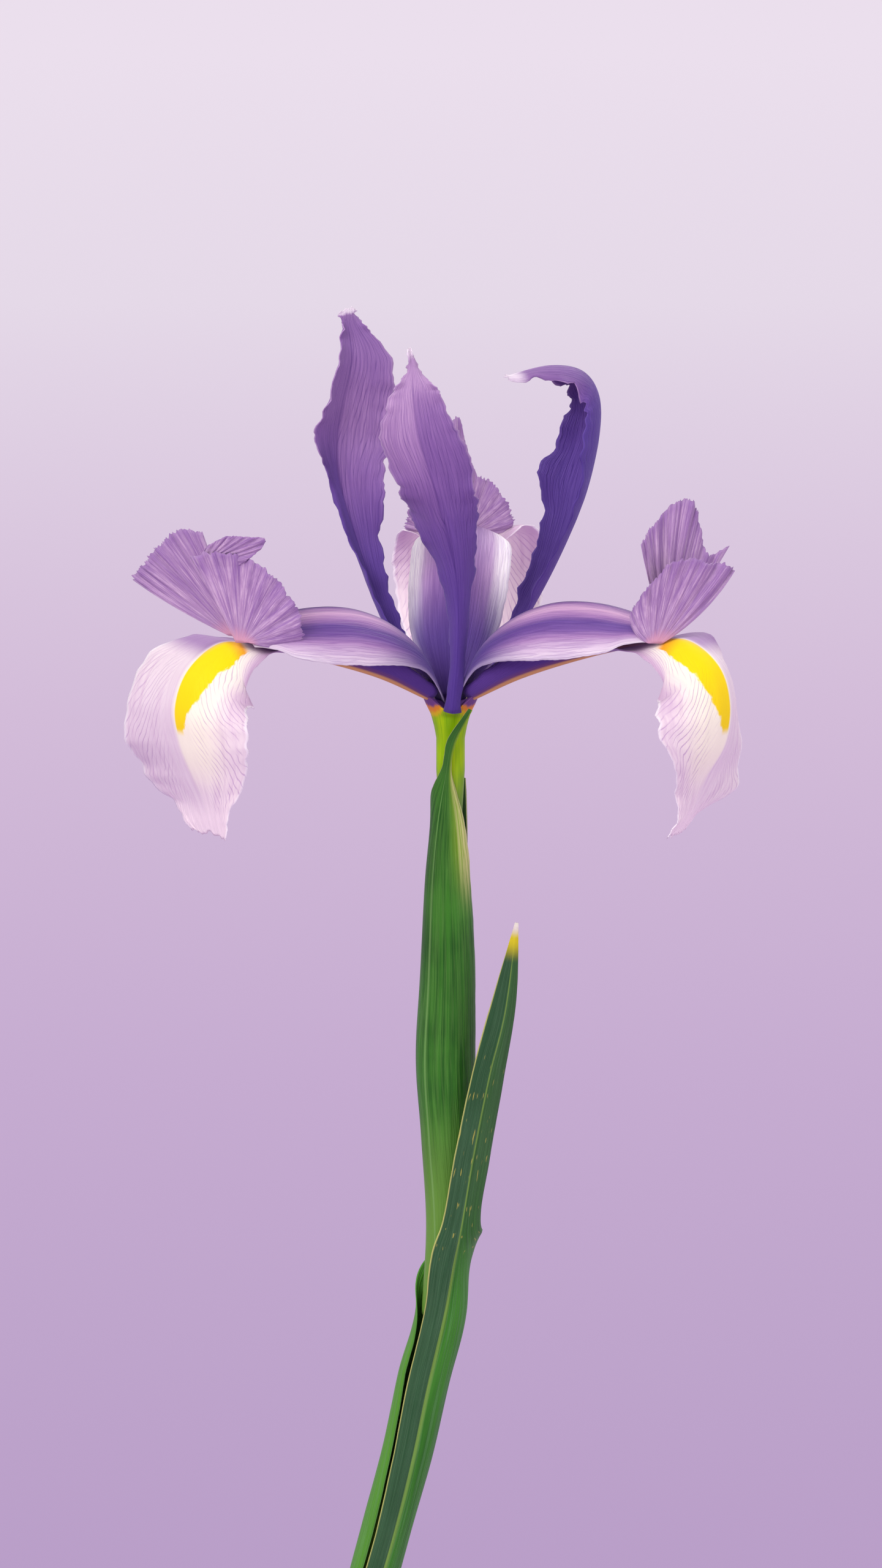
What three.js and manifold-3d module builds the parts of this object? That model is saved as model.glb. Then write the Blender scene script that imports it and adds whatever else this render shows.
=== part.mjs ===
// A cut Dutch iris standing in a plain bud vase.
// Millimetres, +Z up. The origin is the centre of the vase's foot, on the table, and the flower's open side,
// where its front standard is, looks towards -Y.
// Petals, bracts and leaves are thin sheets: each one is a flat box bent along its own midrib.
import * as THREE from "three";
import { mergeVertices } from "three/addons/utils/BufferGeometryUtils.js";
import Module from "manifold-3d";

// Driving dimensions.
const clearance = 0.3; // between pieces that lie against each other
const petalThickness = 0.8;
const leafThickness = 0.5;

const vase = {
  height: 160,
  footRadius: 34,
  bellyRadius: 41,
  bellyHeight: 56,
  neckRadius: 25.5,
  neckDrop: 20, // from the rim down to the narrowest part
  lipRadius: 28,
  wall: 4,
  floor: 6,
  footBevel: 1.6,
};
const stem = {
  rise: 172, // from the vase's rim up to the base of the flower
  lean: 17, // sideways, from where the stem crosses the rim to the flower's axis
  footOffset: -18, // where the cut end stands on the vase's floor
  cutRadius: 2.6,
  topRadius: 2.2,
};
const sheath = { radius: 4.1, depth: 28 }; // of the lower leaf, its end measured down from the vase's rim
const ovary = {
  length: 62,
  radius: 2.6,
  throatRadius: 1.8,
  tubeRadius: 2.4,
  mouthRadius: 4.6,
  mouthRise: 1.6,
};
const stamen = { filamentRadius: 0.55, antherRadius: 1.05 };

const steps = { round: 12, vaseRound: 36 };

// Where things stand, worked out from the sizes above.
const mouthRadius = vase.lipRadius - vase.wall;
const rimCrossing = mouthRadius - sheath.radius - leafThickness / 2 - clearance;
const flowerBase = new THREE.Vector3(rimCrossing + stem.lean, 0, vase.height + stem.rise);

// Catmull-Rom value at share u of a list of numbers that are evenly spaced.
function along(values, u) {
  const last = values.length - 1;
  const place = Math.min(Math.max(u, 0), 1) * last;
  const i = Math.min(Math.floor(place), last - 1);
  const t = place - i;
  const p1 = values[i];
  const p2 = values[i + 1];
  const p0 = i > 0 ? values[i - 1] : 2 * p1 - p2;
  const p3 = i < last - 1 ? values[i + 2] : 2 * p2 - p1;
  const slope1 = (p2 - p0) / 2;
  const slope2 = (p3 - p1) / 2;
  const rest = p2 - p1;
  return p1 + t * (slope1 + t * (3 * rest - 2 * slope1 - slope2 + t * (slope1 + slope2 - 2 * rest)));
}

// A point of the midrib: stations hold [out, side, up, ...].
function midrib(stations, u) {
  const at = (k) => along(stations.map((s) => s[k]), u);
  return new THREE.Vector3(at(0), at(1), at(2));
}

// A point of a sheet. u runs from 0 at the base to 1 at the tip, v from -1 to 1 across it.
// A station is [out, side, up, turn, width, bend, width, bend]: turn twists the sheet about its midrib, and
// there is a width and a bend for the half on the +side and for the half on the -side.
// Bend is how far a half leans towards the inner face, in degrees.
// creases holds the share of that lean taken at once, as a fold along the midrib.
// slants pull each half towards the tip, as a share of its width.
function sheetPoint({ stations, creases = [0.3, 0.3], slants = [[0, 0], [0, 0]] }, u, v) {
  const small = 1e-3;
  const here = midrib(stations, u);
  const behind = midrib(stations, Math.max(u - small, 0));
  const tangent = midrib(stations, Math.min(u + small, 1)).sub(behind).normalize();
  const side = new THREE.Vector3(0, 1, 0).addScaledVector(tangent, -tangent.y).normalize();
  const inner = new THREE.Vector3().crossVectors(tangent, side);
  const turn = THREE.MathUtils.degToRad(along(stations.map((s) => s[3]), u));
  const across = side.clone().multiplyScalar(Math.cos(turn)).addScaledVector(inner, Math.sin(turn));
  const face = inner.clone().multiplyScalar(Math.cos(turn)).addScaledVector(side, -Math.sin(turn));
  const column = v >= 0 ? 4 : 6;
  const width = Math.max(along(stations.map((s) => s[column]), u), 0.25);
  const bend = THREE.MathUtils.degToRad(along(stations.map((s) => s[column + 1]), u));
  const crease = along(creases, u);
  const start = bend * crease;
  const rate = 2 * bend * (1 - crease);
  const reach = Math.abs(v);
  const end = start + rate * reach;
  const flat = Math.abs(rate) < 1e-6;
  const lateral = flat ? reach * Math.cos(start) : (Math.sin(end) - Math.sin(start)) / rate;
  const lift = flat ? reach * Math.sin(start) : (Math.cos(start) - Math.cos(end)) / rate;
  const slant = along(slants[v >= 0 ? 0 : 1], u) * reach;
  here.addScaledVector(across, Math.sign(v) * width * lateral).addScaledVector(face, width * lift);
  return here.addScaledVector(tangent, width * slant);
}

// A point of a fan. u runs from its foot to its rim, v from its first ray at -1 to its last at 1.
function fanPoint({ pivot, across, foot, rays }, u, v) {
  const turn = THREE.MathUtils.degToRad(across);
  const sideways = new THREE.Vector3(Math.cos(turn), Math.sin(turn), 0);
  const up = new THREE.Vector3(0, 0, 1);
  const face = new THREE.Vector3().crossVectors(sideways, up);
  const [first, last, reach, lift] = [0, 1, 2, 3].map((k) => along(rays.map((ray) => ray[k]), (v + 1) / 2));
  const angle = THREE.MathUtils.degToRad(first + (last - first) * u);
  const point = new THREE.Vector3(...pivot).addScaledVector(sideways, foot * v + u * reach * Math.sin(angle));
  return point.addScaledVector(up, u * reach * Math.cos(angle)).addScaledVector(face, lift * u * u);
}

// The sheet or fan as a closed solid: a thin box whose length and width follow it.
function sheetGeometry(sheet, thickness, lengthSteps, widthSteps) {
  const box = new THREE.BoxGeometry(1, 1, 1, lengthSteps, widthSteps, 1);
  const place = box.attributes.position;
  const pointAt = sheet.rays ? fanPoint : sheetPoint;
  const nudge = 2e-3;
  for (let i = 0; i < place.count; i++) {
    const u = place.getX(i) + 0.5;
    const v = 2 * place.getY(i);
    const low = Math.max(u - nudge, 0);
    const high = Math.min(u + nudge, 1);
    const left = Math.min(v + nudge, 1);
    const right = Math.max(v - nudge, -1);
    const alongIt = pointAt(sheet, high, v).sub(pointAt(sheet, low, v));
    const acrossIt = pointAt(sheet, u, left).sub(pointAt(sheet, u, right));
    const normal = alongIt.cross(acrossIt).normalize();
    const point = pointAt(sheet, u, v).addScaledVector(normal, place.getZ(i) * thickness);
    place.setXYZ(i, point.x, point.y, point.z);
  }
  return box;
}

// manifold-3d joins the sheets that grow together.
const wasm = await Module();
wasm.setup();

function solidOf(geometry) {
  const bare = new THREE.BufferGeometry().setAttribute("position", geometry.attributes.position.clone());
  bare.setIndex(geometry.index ? geometry.index.clone() : null);
  const merged = mergeVertices(bare, 1e-4);
  return new wasm.Manifold(
    new wasm.Mesh({
      numProp: 3,
      vertProperties: Float32Array.from(merged.attributes.position.array),
      triVerts: Uint32Array.from(merged.index.array),
    }),
  );
}

function geometryOf(solid) {
  const mesh = solid.getMesh();
  return new THREE.BufferGeometry()
    .setAttribute("position", new THREE.BufferAttribute(Float32Array.from(mesh.vertProperties), 3))
    .setIndex(new THREE.BufferAttribute(Uint32Array.from(mesh.triVerts), 1));
}

// Materials, one for each kind of surface.
const finish = (color, roughness) => new THREE.MeshStandardMaterial({ color, roughness, metalness: 0 });
const materials = {
  ceramic: finish(0xece8e4, 0.5),
  stem: finish(0x6f9f2c, 0.5),
  leaf: finish(0x2f6b3a, 0.45),
  spathe: finish(0x43872f, 0.5),
  tube: finish(0x9dbd1f, 0.5),
  fall: finish(0xead9ea, 0.6),
  standard: finish(0x7d5ba6, 0.6),
  style: finish(0xa588bd, 0.6),
  stamen: finish(0xe6dcc0, 0.7),
};

const iris = new THREE.Group();

function addNode(parent, name, geometry, material) {
  const mesh = new THREE.Mesh(geometry, material);
  mesh.name = name;
  parent.add(mesh);
  return mesh;
}

// The vase: a turned shell, open at the top, with a flat foot.
function vaseGeometry() {
  const { height, footRadius, footBevel, bellyRadius, bellyHeight, wall, floor } = vase;
  const { neckRadius, neckDrop, lipRadius } = vase;
  const neckHeight = height - neckDrop;
  const side = new THREE.SplineCurve([
    new THREE.Vector2(footRadius, footBevel),
    new THREE.Vector2(bellyRadius, bellyHeight),
    new THREE.Vector2((bellyRadius + neckRadius) / 2 + 0.5, (bellyHeight + neckHeight) / 2 + 4),
    new THREE.Vector2(neckRadius, neckHeight),
    new THREE.Vector2(lipRadius, height - wall / 2),
  ]);
  const outside = side.getPoints(11);
  const inside = outside.map((p) => new THREE.Vector2(p.x - wall, p.y)).filter((p) => p.y > floor + wall / 2);
  const lip = new THREE.EllipseCurve(lipRadius - wall / 2, height - wall / 2, wall / 2, wall / 2, 0, Math.PI);
  const profile = [
    new THREE.Vector2(0, 0),
    new THREE.Vector2(footRadius - footBevel, 0),
    ...outside,
    ...lip.getPoints(4).slice(1, -1),
    ...inside.reverse(),
    new THREE.Vector2(footRadius - wall - 1.5, floor),
    new THREE.Vector2(0, floor),
  ];
  return new THREE.LatheGeometry(profile, steps.vaseRound).rotateX(Math.PI / 2);
}
addNode(iris, "vase", vaseGeometry(), materials.ceramic);

// The stem's centre line, from its cut end on the vase's floor, past the rim and up to the ovary.
// Each pair is a share of the lean and of the rise, counted from the flower.
const stemLine = new THREE.CatmullRomCurve3(
  [
    new THREE.Vector3(stem.footOffset, 1.5, vase.floor + clearance + stem.cutRadius / 2),
    new THREE.Vector3((stem.footOffset + rimCrossing) / 2 + 1, 1, vase.height / 2),
    ...[
      [1, 1],
      [0.68, 0.87],
      [0.46, 0.787],
      [0.275, 0.7],
      [0.075, 0.61],
      [0, 0.5],
    ].map(([leanShare, riseShare]) => new THREE.Vector3(
      flowerBase.x - stem.lean * leanShare, 0, flowerBase.z - stem.rise * riseShare)),
    new THREE.Vector3(flowerBase.x, 0, flowerBase.z - ovary.length - clearance),
  ],
  false,
  "catmullrom",
  0.5,
);

// The stem's centre at a height, found by halving.
function stemAt(z) {
  let low = 0;
  let high = 1;
  for (let i = 0; i < 40; i++) {
    const middle = (low + high) / 2;
    if (stemLine.getPoint(middle).z < z) low = middle;
    else high = middle;
  }
  return stemLine.getPoint(low);
}

// A solid of round sections whose centres and radii are given from bottom to top.
function turnedAlong(sections, round) {
  const column = new THREE.CylinderGeometry(1, 1, 1, round, sections.length - 1);
  column.rotateX(Math.PI / 2);
  const place = column.attributes.position;
  for (let i = 0; i < place.count; i++) {
    const { centre, radius, tilt } = sections[Math.round((place.getZ(i) + 0.5) * (sections.length - 1))];
    const point = new THREE.Vector3(place.getX(i) * radius, place.getY(i) * radius, 0);
    if (tilt) point.applyQuaternion(tilt);
    point.add(centre);
    place.setXYZ(i, point.x, point.y, point.z);
  }
  return column;
}

function tiltOf(direction) {
  return new THREE.Quaternion().setFromUnitVectors(new THREE.Vector3(0, 0, 1), direction);
}

function stemGeometry() {
  const count = 20;
  const sections = [];
  for (let i = 0; i <= count; i++) {
    const u = i / count;
    const centre = stemLine.getPoint(u);
    const radius = stem.cutRadius + (stem.topRadius - stem.cutRadius) * u;
    sections.push({ centre, radius, tilt: tiltOf(stemLine.getTangent(u)) });
  }
  return turnedAlong(sections, steps.round);
}
addNode(iris, "stem", stemGeometry(), materials.stem);

// Everything below is measured from the base of the flower, on the flower's axis.
const flower = new THREE.Group();
flower.position.copy(flowerBase);
iris.add(flower);

// The ovary and the funnel of the perianth tube, one piece.
function ovaryGeometry() {
  const { length, radius, throatRadius, tubeRadius, mouthRadius: mouth, mouthRise } = ovary;
  const profile = [
    [0, -length],
    [stem.topRadius, -length],
    [radius, -0.9 * length],
    [radius, -0.72 * length],
    [throatRadius, -0.5 * length],
    [throatRadius, -0.35 * length],
    [tubeRadius, -0.18 * length],
    [tubeRadius, -0.09 * length],
    [(5 * tubeRadius + mouth) / 6, -3.4],
    [(3 * tubeRadius + 2 * mouth) / 5, -1.2],
    [(tubeRadius + 3 * mouth) / 4, 0.3],
    [mouth, mouthRise],
    [mouth - 0.8, mouthRise - 0.1],
    [mouth / 2, -0.6],
    [0, -1],
  ].map(([r, z]) => new THREE.Vector2(r, z));
  return new THREE.LatheGeometry(profile, 20).rotateX(Math.PI / 2);
}
addNode(flower, "ovary_tube", ovaryGeometry(), materials.tube);

// One petal, leaf or bract in its own frame: +X is out from the flower's axis, +Y to its side, +Z up.
function frameAt(azimuth) {
  const frame = new THREE.Group();
  frame.rotation.z = THREE.MathUtils.degToRad(azimuth);
  flower.add(frame);
  return frame;
}

// Falls: a channelled haft that climbs away from the tube, then a broad blade that arches over and hangs.
const falls = {
  fall_left: {
    azimuth: 210,
    slants: [
      [0, 0],
      [0, 0, 0, 0, 0, 0.05, 0.12, 0.2, 0.25, 0.28, 0.2],
    ],
    stations: [
      [4.8, 0, 2.8, 0, 1.9, 45, 1.9, 45],
      [14, 0, 6.9, 0, 4.6, 55, 4.6, 55],
      [26, 0, 11.6, 0, 4.8, 45, 4.8, 45],
      [36, 0, 14.9, 0, 3.2, -16, 4.8, -4],
      [43.5, 0, 16.5, 0, 12, -54, 10, -5],
      [49.5, 0, 12.8, 0, 12.6, -40, 13.5, 0],
      [52, 0, 6.8, 0, 14.2, -32, 15, 5],
      [51, 0, 0.6, 0, 14, -28, 18.2, 5],
      [48.6, 0, -5.5, 0, 11, -24, 22, 0],
      [46.6, 0, -10.6, 0, 6.6, -12, 16, -5],
      [45.4, 0, -15.6, 0, 4.6, -5, 7.4, 0],
    ],
  },
  fall_right: {
    azimuth: 330,
    slants: [
      [0, 0, 0, 0, 0, 0, 0.1, 0.2, 0.3, 0.2, 0],
      [0, 0],
    ],
    stations: [
      [4.8, 0, 2.8, 0, 1.9, 45, 1.9, 45],
      [14, 0, 6.9, 0, 4.6, 55, 4.6, 55],
      [26, 0, 11.9, 0, 4.8, 45, 4.8, 45],
      [36.5, 0, 15.4, 0, 4.8, -4, 3.2, -16],
      [44.5, 0, 17.2, 0, 7.6, -4, 11.4, -54],
      [50.5, 0, 13.6, 0, 8.4, -26, 12.2, -40],
      [52.6, 0, 7.4, 0, 8.8, -26, 13.4, -32],
      [51.6, 0, 0.6, 0, 10.2, -8, 12.8, -28],
      [48.2, 0, -5.4, 0, 13.2, 8, 7.2, -20],
      [46, 0, -11, 0, 2.2, 8, 3.8, -10],
      [43.4, 0, -15.8, 0, 2.4, 0, 3.6, 0],
    ],
  },
  fall_back: {
    azimuth: 87,
    stations: [
      [4.8, 0, 2.8, 0, 1.9, 45, 1.9, 45],
      [14, 0, 7.2, 0, 4.6, 55, 4.6, 55],
      [26, 0, 12.6, 0, 4.8, 45, 4.8, 45],
      [36, 0, 17, 0, 7, 20, 7, 16],
      [43.5, 0, 19.6, 0, 11, -4, 11.5, 6],
      [50, 0, 17, 0, 12.5, -10, 13.5, -4],
      [53.2, 0, 11.4, 0, 13, -14, 14, -10],
      [53, 0, 5.2, 0, 12.5, -14, 13.5, -10],
      [50.5, 0, -1.4, 0, 10.5, -12, 11.5, -8],
      [47, 0, -5.8, 0, 6, -8, 6.5, -5],
      [43.4, 0, -8.6, 0, 3, 0, 3.4, 0],
    ],
  },
};
for (const [name, sheet] of Object.entries(falls))
  addNode(frameAt(sheet.azimuth), name, sheetGeometry(sheet, petalThickness, 20, 6), materials.fall);

// Standards: a narrow claw, then an upright blade.
const standards = {
  standard_front: {
    azimuth: 270,
    creases: [0.4, 0.4],
    stations: [
      [4.9, 0.2, 2.6, 0, 1.1, 30, 1.1, 30],
      [5.8, 1.1, 9.5, 0, 2, 48, 1.8, 48],
      [7.4, 1.3, 17.5, 0, 3, 50, 2.8, 50],
      [9.6, 0.8, 25.5, 0, 4.3, 40, 4.1, 38],
      [12, -0.5, 32.6, 0, 5.6, 28, 6.4, 34],
      [13.5, -1.6, 36.8, 0, 6.5, 20, 6.9, 34],
      [15.5, -3, 42.5, 0, 7, 15, 6, 10],
      [17.5, -5, 50, 0, 6.2, 10, 7.1, 10],
      [18, -6, 56.2, 0, 4.7, 5, 4.4, 5],
      [17.8, -6.2, 59, 0, 3.6, 0, 2.6, 0],
      [17.5, -6.2, 61.6, 0, 1, 0, 0.8, 0],
      [17.3, -6.7, 65, 0, 0.3, 0, 0.3, 0],
    ],
  },
  standard_left: {
    azimuth: 150,
    creases: [0.5, 0.5],
    stations: [
      [4.9, 0, 2.6, 0, 1.1, 30, 1.1, 30],
      [10.8, 0, 9.8, -10, 2.2, 40, 2.2, 40],
      [15.2, 0, 18.8, -20, 2.6, 40, 3, 40],
      [18.9, 0, 27.8, -25, 2.8, 38, 5.2, 35],
      [21.6, 0, 36.2, -30, 3, 34, 8, 28],
      [22.1, 0, 43, -30, 5.4, 25, 10.4, 15],
      [21, 0, 49.5, -30, 4.8, 25, 9.4, 15],
      [19.2, 0, 57, -30, 3.4, 20, 7, 15],
      [20, 0, 63.4, -30, 0.6, 0, 1.8, 0],
      [20, 0, 66.4, -30, 0.9, 0, 1, 0],
    ],
  },
  standard_right: {
    azimuth: 30,
    creases: [0.5, 0.5],
    stations: [
      [4.9, 0, 2.6, 0, 1.1, 30, 1.1, 30],
      [12, 0, 10, 0, 2.2, 45, 2.2, 45],
      [17.8, 0, 18, 0, 3.4, 50, 3.8, 45],
      [22.5, 0, 26.5, 0, 5.4, 45, 7.4, 40],
      [26.2, 0, 35, 0, 7.8, 45, 10, 40],
      [28.5, 0, 43.5, 0, 5.8, 45, 8.5, 45],
      [28.5, 0, 50, 0, 5, 50, 7, 50],
      [25.3, 0, 54.4, 0, 4.6, 50, 5.5, 50],
      [19, 0, 56, 0, 3, 45, 3.4, 45],
      [10.7, 0, 55.2, 0, 0.5, 30, 0.5, 30],
    ],
  },
};
for (const [name, sheet] of Object.entries(standards))
  addNode(frameAt(sheet.azimuth), name, sheetGeometry(sheet, petalThickness, 20, 4), materials.standard);

// Style arms: a petal-like arch over each haft, whose end spreads into crest fans that stand up.
const armStations = [
  [1.7, 0, 1.2, 0, 1.4, -10, 1.4, -10],
  [5.4, 0, 9.6, 0, 4.4, -32, 4.4, -32],
  [11.5, 0, 15.5, 0, 9.2, -46, 9.2, -46],
  [19, 0, 19.1, 0, 11.1, -50, 11.1, -50],
  [27, 0, 20.3, 0, 11, -49, 11, -49],
  [34.5, 0, 19.6, 0, 8.6, -42, 8.6, -42],
  [40.8, 0, 17.9, 0, 2.8, -6, 2.8, -6],
];
const rightArmStations = armStations.map(([out, side, up, ...rest]) => [out, side, 1.045 * up, ...rest]);
const backArmStations = [
  [1.7, 0, 1.2, 0, 1.4, -10, 1.4, -10],
  [5.4, 0, 10.4, 0, 4.6, -20, 4.6, -20],
  [11.5, 0, 17, 0, 8.4, -20, 9.2, -20],
  [19, 0, 21.4, 0, 8.6, -22, 9.8, -22],
  [27, 0, 23.4, 0, 8.4, -20, 9.6, -20],
  [34.5, 0, 22.8, 0, 7, -18, 7.8, -18],
  [39.5, 0, 20.6, 0, 3.6, -16, 3.6, -16],
];
// A fan spreads from a short foot at its pivot. across is the direction of its plane, and a ray is
// [angle at the foot, angle at the rim, reach, lift], its angles measured from upright.
const styles = {
  style_arm_left: {
    azimuth: 210,
    stations: armStations,
    fans: [
      {
        pivot: [40.7, 2.5, 16.9],
        across: 150,
        foot: 1.2,
        rays: [
          [-24, -27, 16.4, 0],
          [-12, -14, 15.9, 1],
          [-2, -1, 15.2, 1.6],
          [8, 12, 14, 1.4],
          [24, 27, 12.2, 1],
          [45, 46, 10.6, 0],
          [68, 66, 9.6, -1],
          [90, 86, 8.8, -2],
          [112, 102, 7.4, -2.5],
        ],
      },
      {
        pivot: [40.7, -0.6, 17.3],
        across: 128,
        foot: 1,
        rays: [
          [-71, -67, 19, -1],
          [-62, -60, 19.1, 0],
          [-53, -53, 18.8, 0.8],
          [-44, -45, 19.2, 1.2],
          [-36, -37, 19.7, 1.2],
          [-28, -29, 19.9, 0.6],
          [-20, -21, 18.1, 0],
        ],
      },
      {
        pivot: [46.2, -0.35, 30.3],
        across: 144,
        foot: 0.4,
        rays: [
          [10, 12, 2.6, 0],
          [30, 30, 4.6, 0.4],
          [42, 40, 6.4, 0.8],
          [50, 49, 7.6, 1],
          [58, 57, 9, 1],
          [66, 65, 11, 0.9],
          [73, 72, 9.8, 0.6],
          [80, 80, 7.4, 0.3],
          [98, 98, 4, 0],
        ],
      },
    ],
  },
  style_arm_right: {
    azimuth: 330,
    stations: rightArmStations,
    fans: [
      {
        pivot: [40.1, -2.5, 16.7],
        across: 30,
        foot: 1.2,
        rays: [
          [-74, -50, 3.4, -2],
          [-48, -32, 5.8, -1],
          [-26, -14, 8, 0],
          [-6, 0, 10.8, 0.8],
          [9, 10, 14.2, 1.2],
          [22, 21, 15.8, 1.4],
          [34, 31, 16, 1],
          [46, 39, 17.2, 0],
          [58, 44, 17, -1],
        ],
      },
      {
        pivot: [40.9, 1, 17.6],
        across: 44,
        foot: 1,
        rays: [
          [-18, -16, 16.4, 2],
          [-12, -9, 18.4, 0.6],
          [-5, -2, 20.4, -0.4],
          [1, 4, 22.6, 0.4],
          [7, 9, 22.4, 1],
          [13, 13, 19.4, 0.4],
          [24, 23, 14, 0],
          [34, 33, 16.8, -0.6],
        ],
      },
    ],
  },
  style_arm_back: {
    azimuth: 87,
    stations: backArmStations,
    fans: [
      {
        pivot: [38.5, -1, 20.4],
        across: -87,
        foot: 1.2,
        rays: [
          [-8, -7, 18, 0],
          [-3, -2, 20.4, 1],
          [2, 1, 15.5, 0.6],
          [8, 8, 10.6, -0.4],
          [22, 22, 9.4, -1],
          [44, 44, 8.2, -1.4],
          [66, 64, 7.5, -2],
          [82, 76, 7, -2.4],
          [92, 86, 6, -2.4],
        ],
      },
      {
        pivot: [38.5, 2.6, 20.4],
        across: -87,
        foot: 1.2,
        rays: [
          [-92, -84, 5.6, -2.4],
          [-78, -72, 6.4, -2],
          [-58, -56, 7.2, -1.4],
          [-36, -36, 8.6, -0.6],
          [-18, -18, 11, 0],
          [-6, -6, 14, 0.6],
          [4, 4, 15, 0],
        ],
      },
    ],
  },
};
for (const [name, { azimuth, stations, fans }] of Object.entries(styles)) {
  const arm = solidOf(sheetGeometry({ stations }, petalThickness, 12, 6));
  const crest = fans.map((fan) => solidOf(sheetGeometry(fan, petalThickness, 4, 12)));
  const joined = crest.reduce((body, fan) => body.add(fan), arm);
  // Fans that graze each other can leave a crumb beside the body.
  const body = joined.decompose().reduce((most, bit) => (bit.volume() > most.volume() ? bit : most));
  addNode(frameAt(azimuth), name, geometryOf(body), materials.style);
}

// Stamens: a filament with a long anther, under each style arm.
const stamenRoute = [[3.6, 3.6], [6.5, 6.2], [11, 9.6], [17, 12.8], [24, 15.6], [29, 16.8]];
const stamenLine = new THREE.CatmullRomCurve3(stamenRoute.map(([out, up]) => new THREE.Vector3(out, 0, up)));
function stamenGeometry() {
  const count = 14;
  const sections = [];
  for (let i = 0; i <= count; i++) {
    const u = i / count;
    const swell = u > 0.5 ? Math.sin(Math.PI * Math.min((u - 0.5) / 0.5, 0.93)) : 0;
    const growth = (stamen.antherRadius - stamen.filamentRadius) * Math.sqrt(Math.max(swell, 0));
    const radius = stamen.filamentRadius + growth;
    sections.push({ centre: stamenLine.getPoint(u), radius, tilt: tiltOf(stamenLine.getTangent(u)) });
  }
  return turnedAlong(sections, 8);
}
for (const [side, azimuth] of [["left", 210], ["right", 330], ["back", 90]])
  addNode(frameAt(azimuth), "stamen_" + side, stamenGeometry(), materials.stamen);

// The two spathe bracts round the ovary and the lower leaf, whose sheath wraps the stem.
// Their frame looks from the front: +X is towards the open side, +Y to the right, and drop is the way down.
// wrapped puts a station on a circle round the stem's centre, its midrib swung left of the front, with each
// half reaching so many degrees round.
function wrapped(drop, radius, swing, reachRight, reachLeft, shift = 0) {
  const centre = stemAt(flowerBase.z - drop).sub(flowerBase);
  const angle = THREE.MathUtils.degToRad(swing);
  const out = -centre.y + radius * Math.cos(angle);
  const sideways = centre.x + shift - radius * Math.sin(angle);
  const half = (reach) => [radius * THREE.MathUtils.degToRad(reach), reach / 2];
  return [out, sideways, -drop, -swing, ...half(reachRight), ...half(reachLeft)];
}

const layer = leafThickness + clearance; // from one wrapped sheet to the next
const stemLayer = stem.topRadius + clearance + leafThickness / 2;
const ovaryLayer = ovary.radius + clearance + leafThickness / 2;
const tubeLayer = ovary.tubeRadius + clearance + leafThickness / 2;
const spatheInner = {
  creases: [0, 0],
  stations: [
    wrapped(90, stemLayer + 0.1, 190, 150, 150, -0.05),
    wrapped(76, ovaryLayer + 0.4, 195, 140, 140, -0.5),
    wrapped(62, ovaryLayer + 0.9, 200, 140, 140, -0.7),
    wrapped(47, ovaryLayer + 0.55, 205, 130, 130, -0.4),
    wrapped(31, tubeLayer - 0.15, 212, 100, 100, -0.2),
    wrapped(22, tubeLayer - 0.1, 228, 34, 34),
    wrapped(13, tubeLayer + 0.1, 236, 6, 6),
  ],
};
const spatheOuter = {
  creases: [0, 0],
  stations: [
    wrapped(108, stemLayer + 0.2, 30, 165, 165),
    wrapped(92, stemLayer + layer + 0.15, 38, 160, 160, -0.05),
    wrapped(76, ovaryLayer + layer + 0.45, 44, 150, 150, -0.5),
    wrapped(62, ovaryLayer + layer + 0.95, 44, 140, 140, -0.8),
    wrapped(47, ovaryLayer + layer + 0.6, 44, 130, 130, -0.4),
    wrapped(31, tubeLayer + layer, 44, 118, 108, -0.3),
    wrapped(20, tubeLayer + 0.2, 38, 92, 84, -0.1),
    [3.3, -0.8, -11, 0, 1.1, 16, 1.1, 16],
    [3.9, 0.3, -5, 0, 0.7, 8, 0.8, 8],
    [5.6, 3.4, 0.8, 0, 0.3, 0, 0.3, 0],
  ],
};
// The sheath runs from inside the vase's mouth up to where the leaf leaves the stem. It opens to let in the
// spathe's foot, and the blade stands off from there.
const sheathTop = 97;
const openRadius = stemLayer + 2 * layer + 0.75;
const sheathDrop = (share) => sheathTop + (stem.rise + sheath.depth - sheathTop) * share;
const lowerLeaf = {
  creases: [0, 0, 0, 0, 0, 0, 0, 0.3, 0.6, 0.8, 0.8, 0.8, 0.8],
  stations: [
    wrapped(sheathDrop(1), sheath.radius, -10, 290, 45),
    wrapped(sheathDrop(0.864), sheath.radius, -10, 290, 45),
    wrapped(sheathDrop(0.67), sheath.radius, -10, 290, 45),
    wrapped(sheathDrop(0.495), sheath.radius, -15, 290, 45),
    wrapped(sheathDrop(0.359), sheath.radius + 0.1, -10, 290, 48),
    wrapped(sheathDrop(0.223), sheath.radius + 0.2, -8, 280, 48),
    wrapped(sheathDrop(0.097), openRadius - layer, -6, 250, 48),
    wrapped(sheathTop, openRadius, -12, 140, 46),
    [openRadius + 1.2, openRadius - 3.2, -90, -10, 4.2, 48, 3.5, 12],
    [openRadius + 1.9, openRadius - 1.2, -77, -10, 3.9, 50, 3.2, 5],
    [openRadius + 2.5, openRadius + 1.5, -62.5, -10, 3.5, 52, 3, 5],
    [openRadius + 3, openRadius + 4.1, -51, -10, 2.3, 52, 2.7, 5],
    [openRadius + 3.4, openRadius + 6, -35.4, -10, 0.3, 30, 0.3, 5],
  ],
};
const front = frameAt(270);
addNode(front, "spathe_outer", sheetGeometry(spatheOuter, leafThickness, 24, 10), materials.spathe);
addNode(front, "spathe_inner", sheetGeometry(spatheInner, leafThickness, 15, 8), materials.spathe);
addNode(front, "leaf_lower", sheetGeometry(lowerLeaf, leafThickness, 30, 10), materials.leaf);

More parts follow.
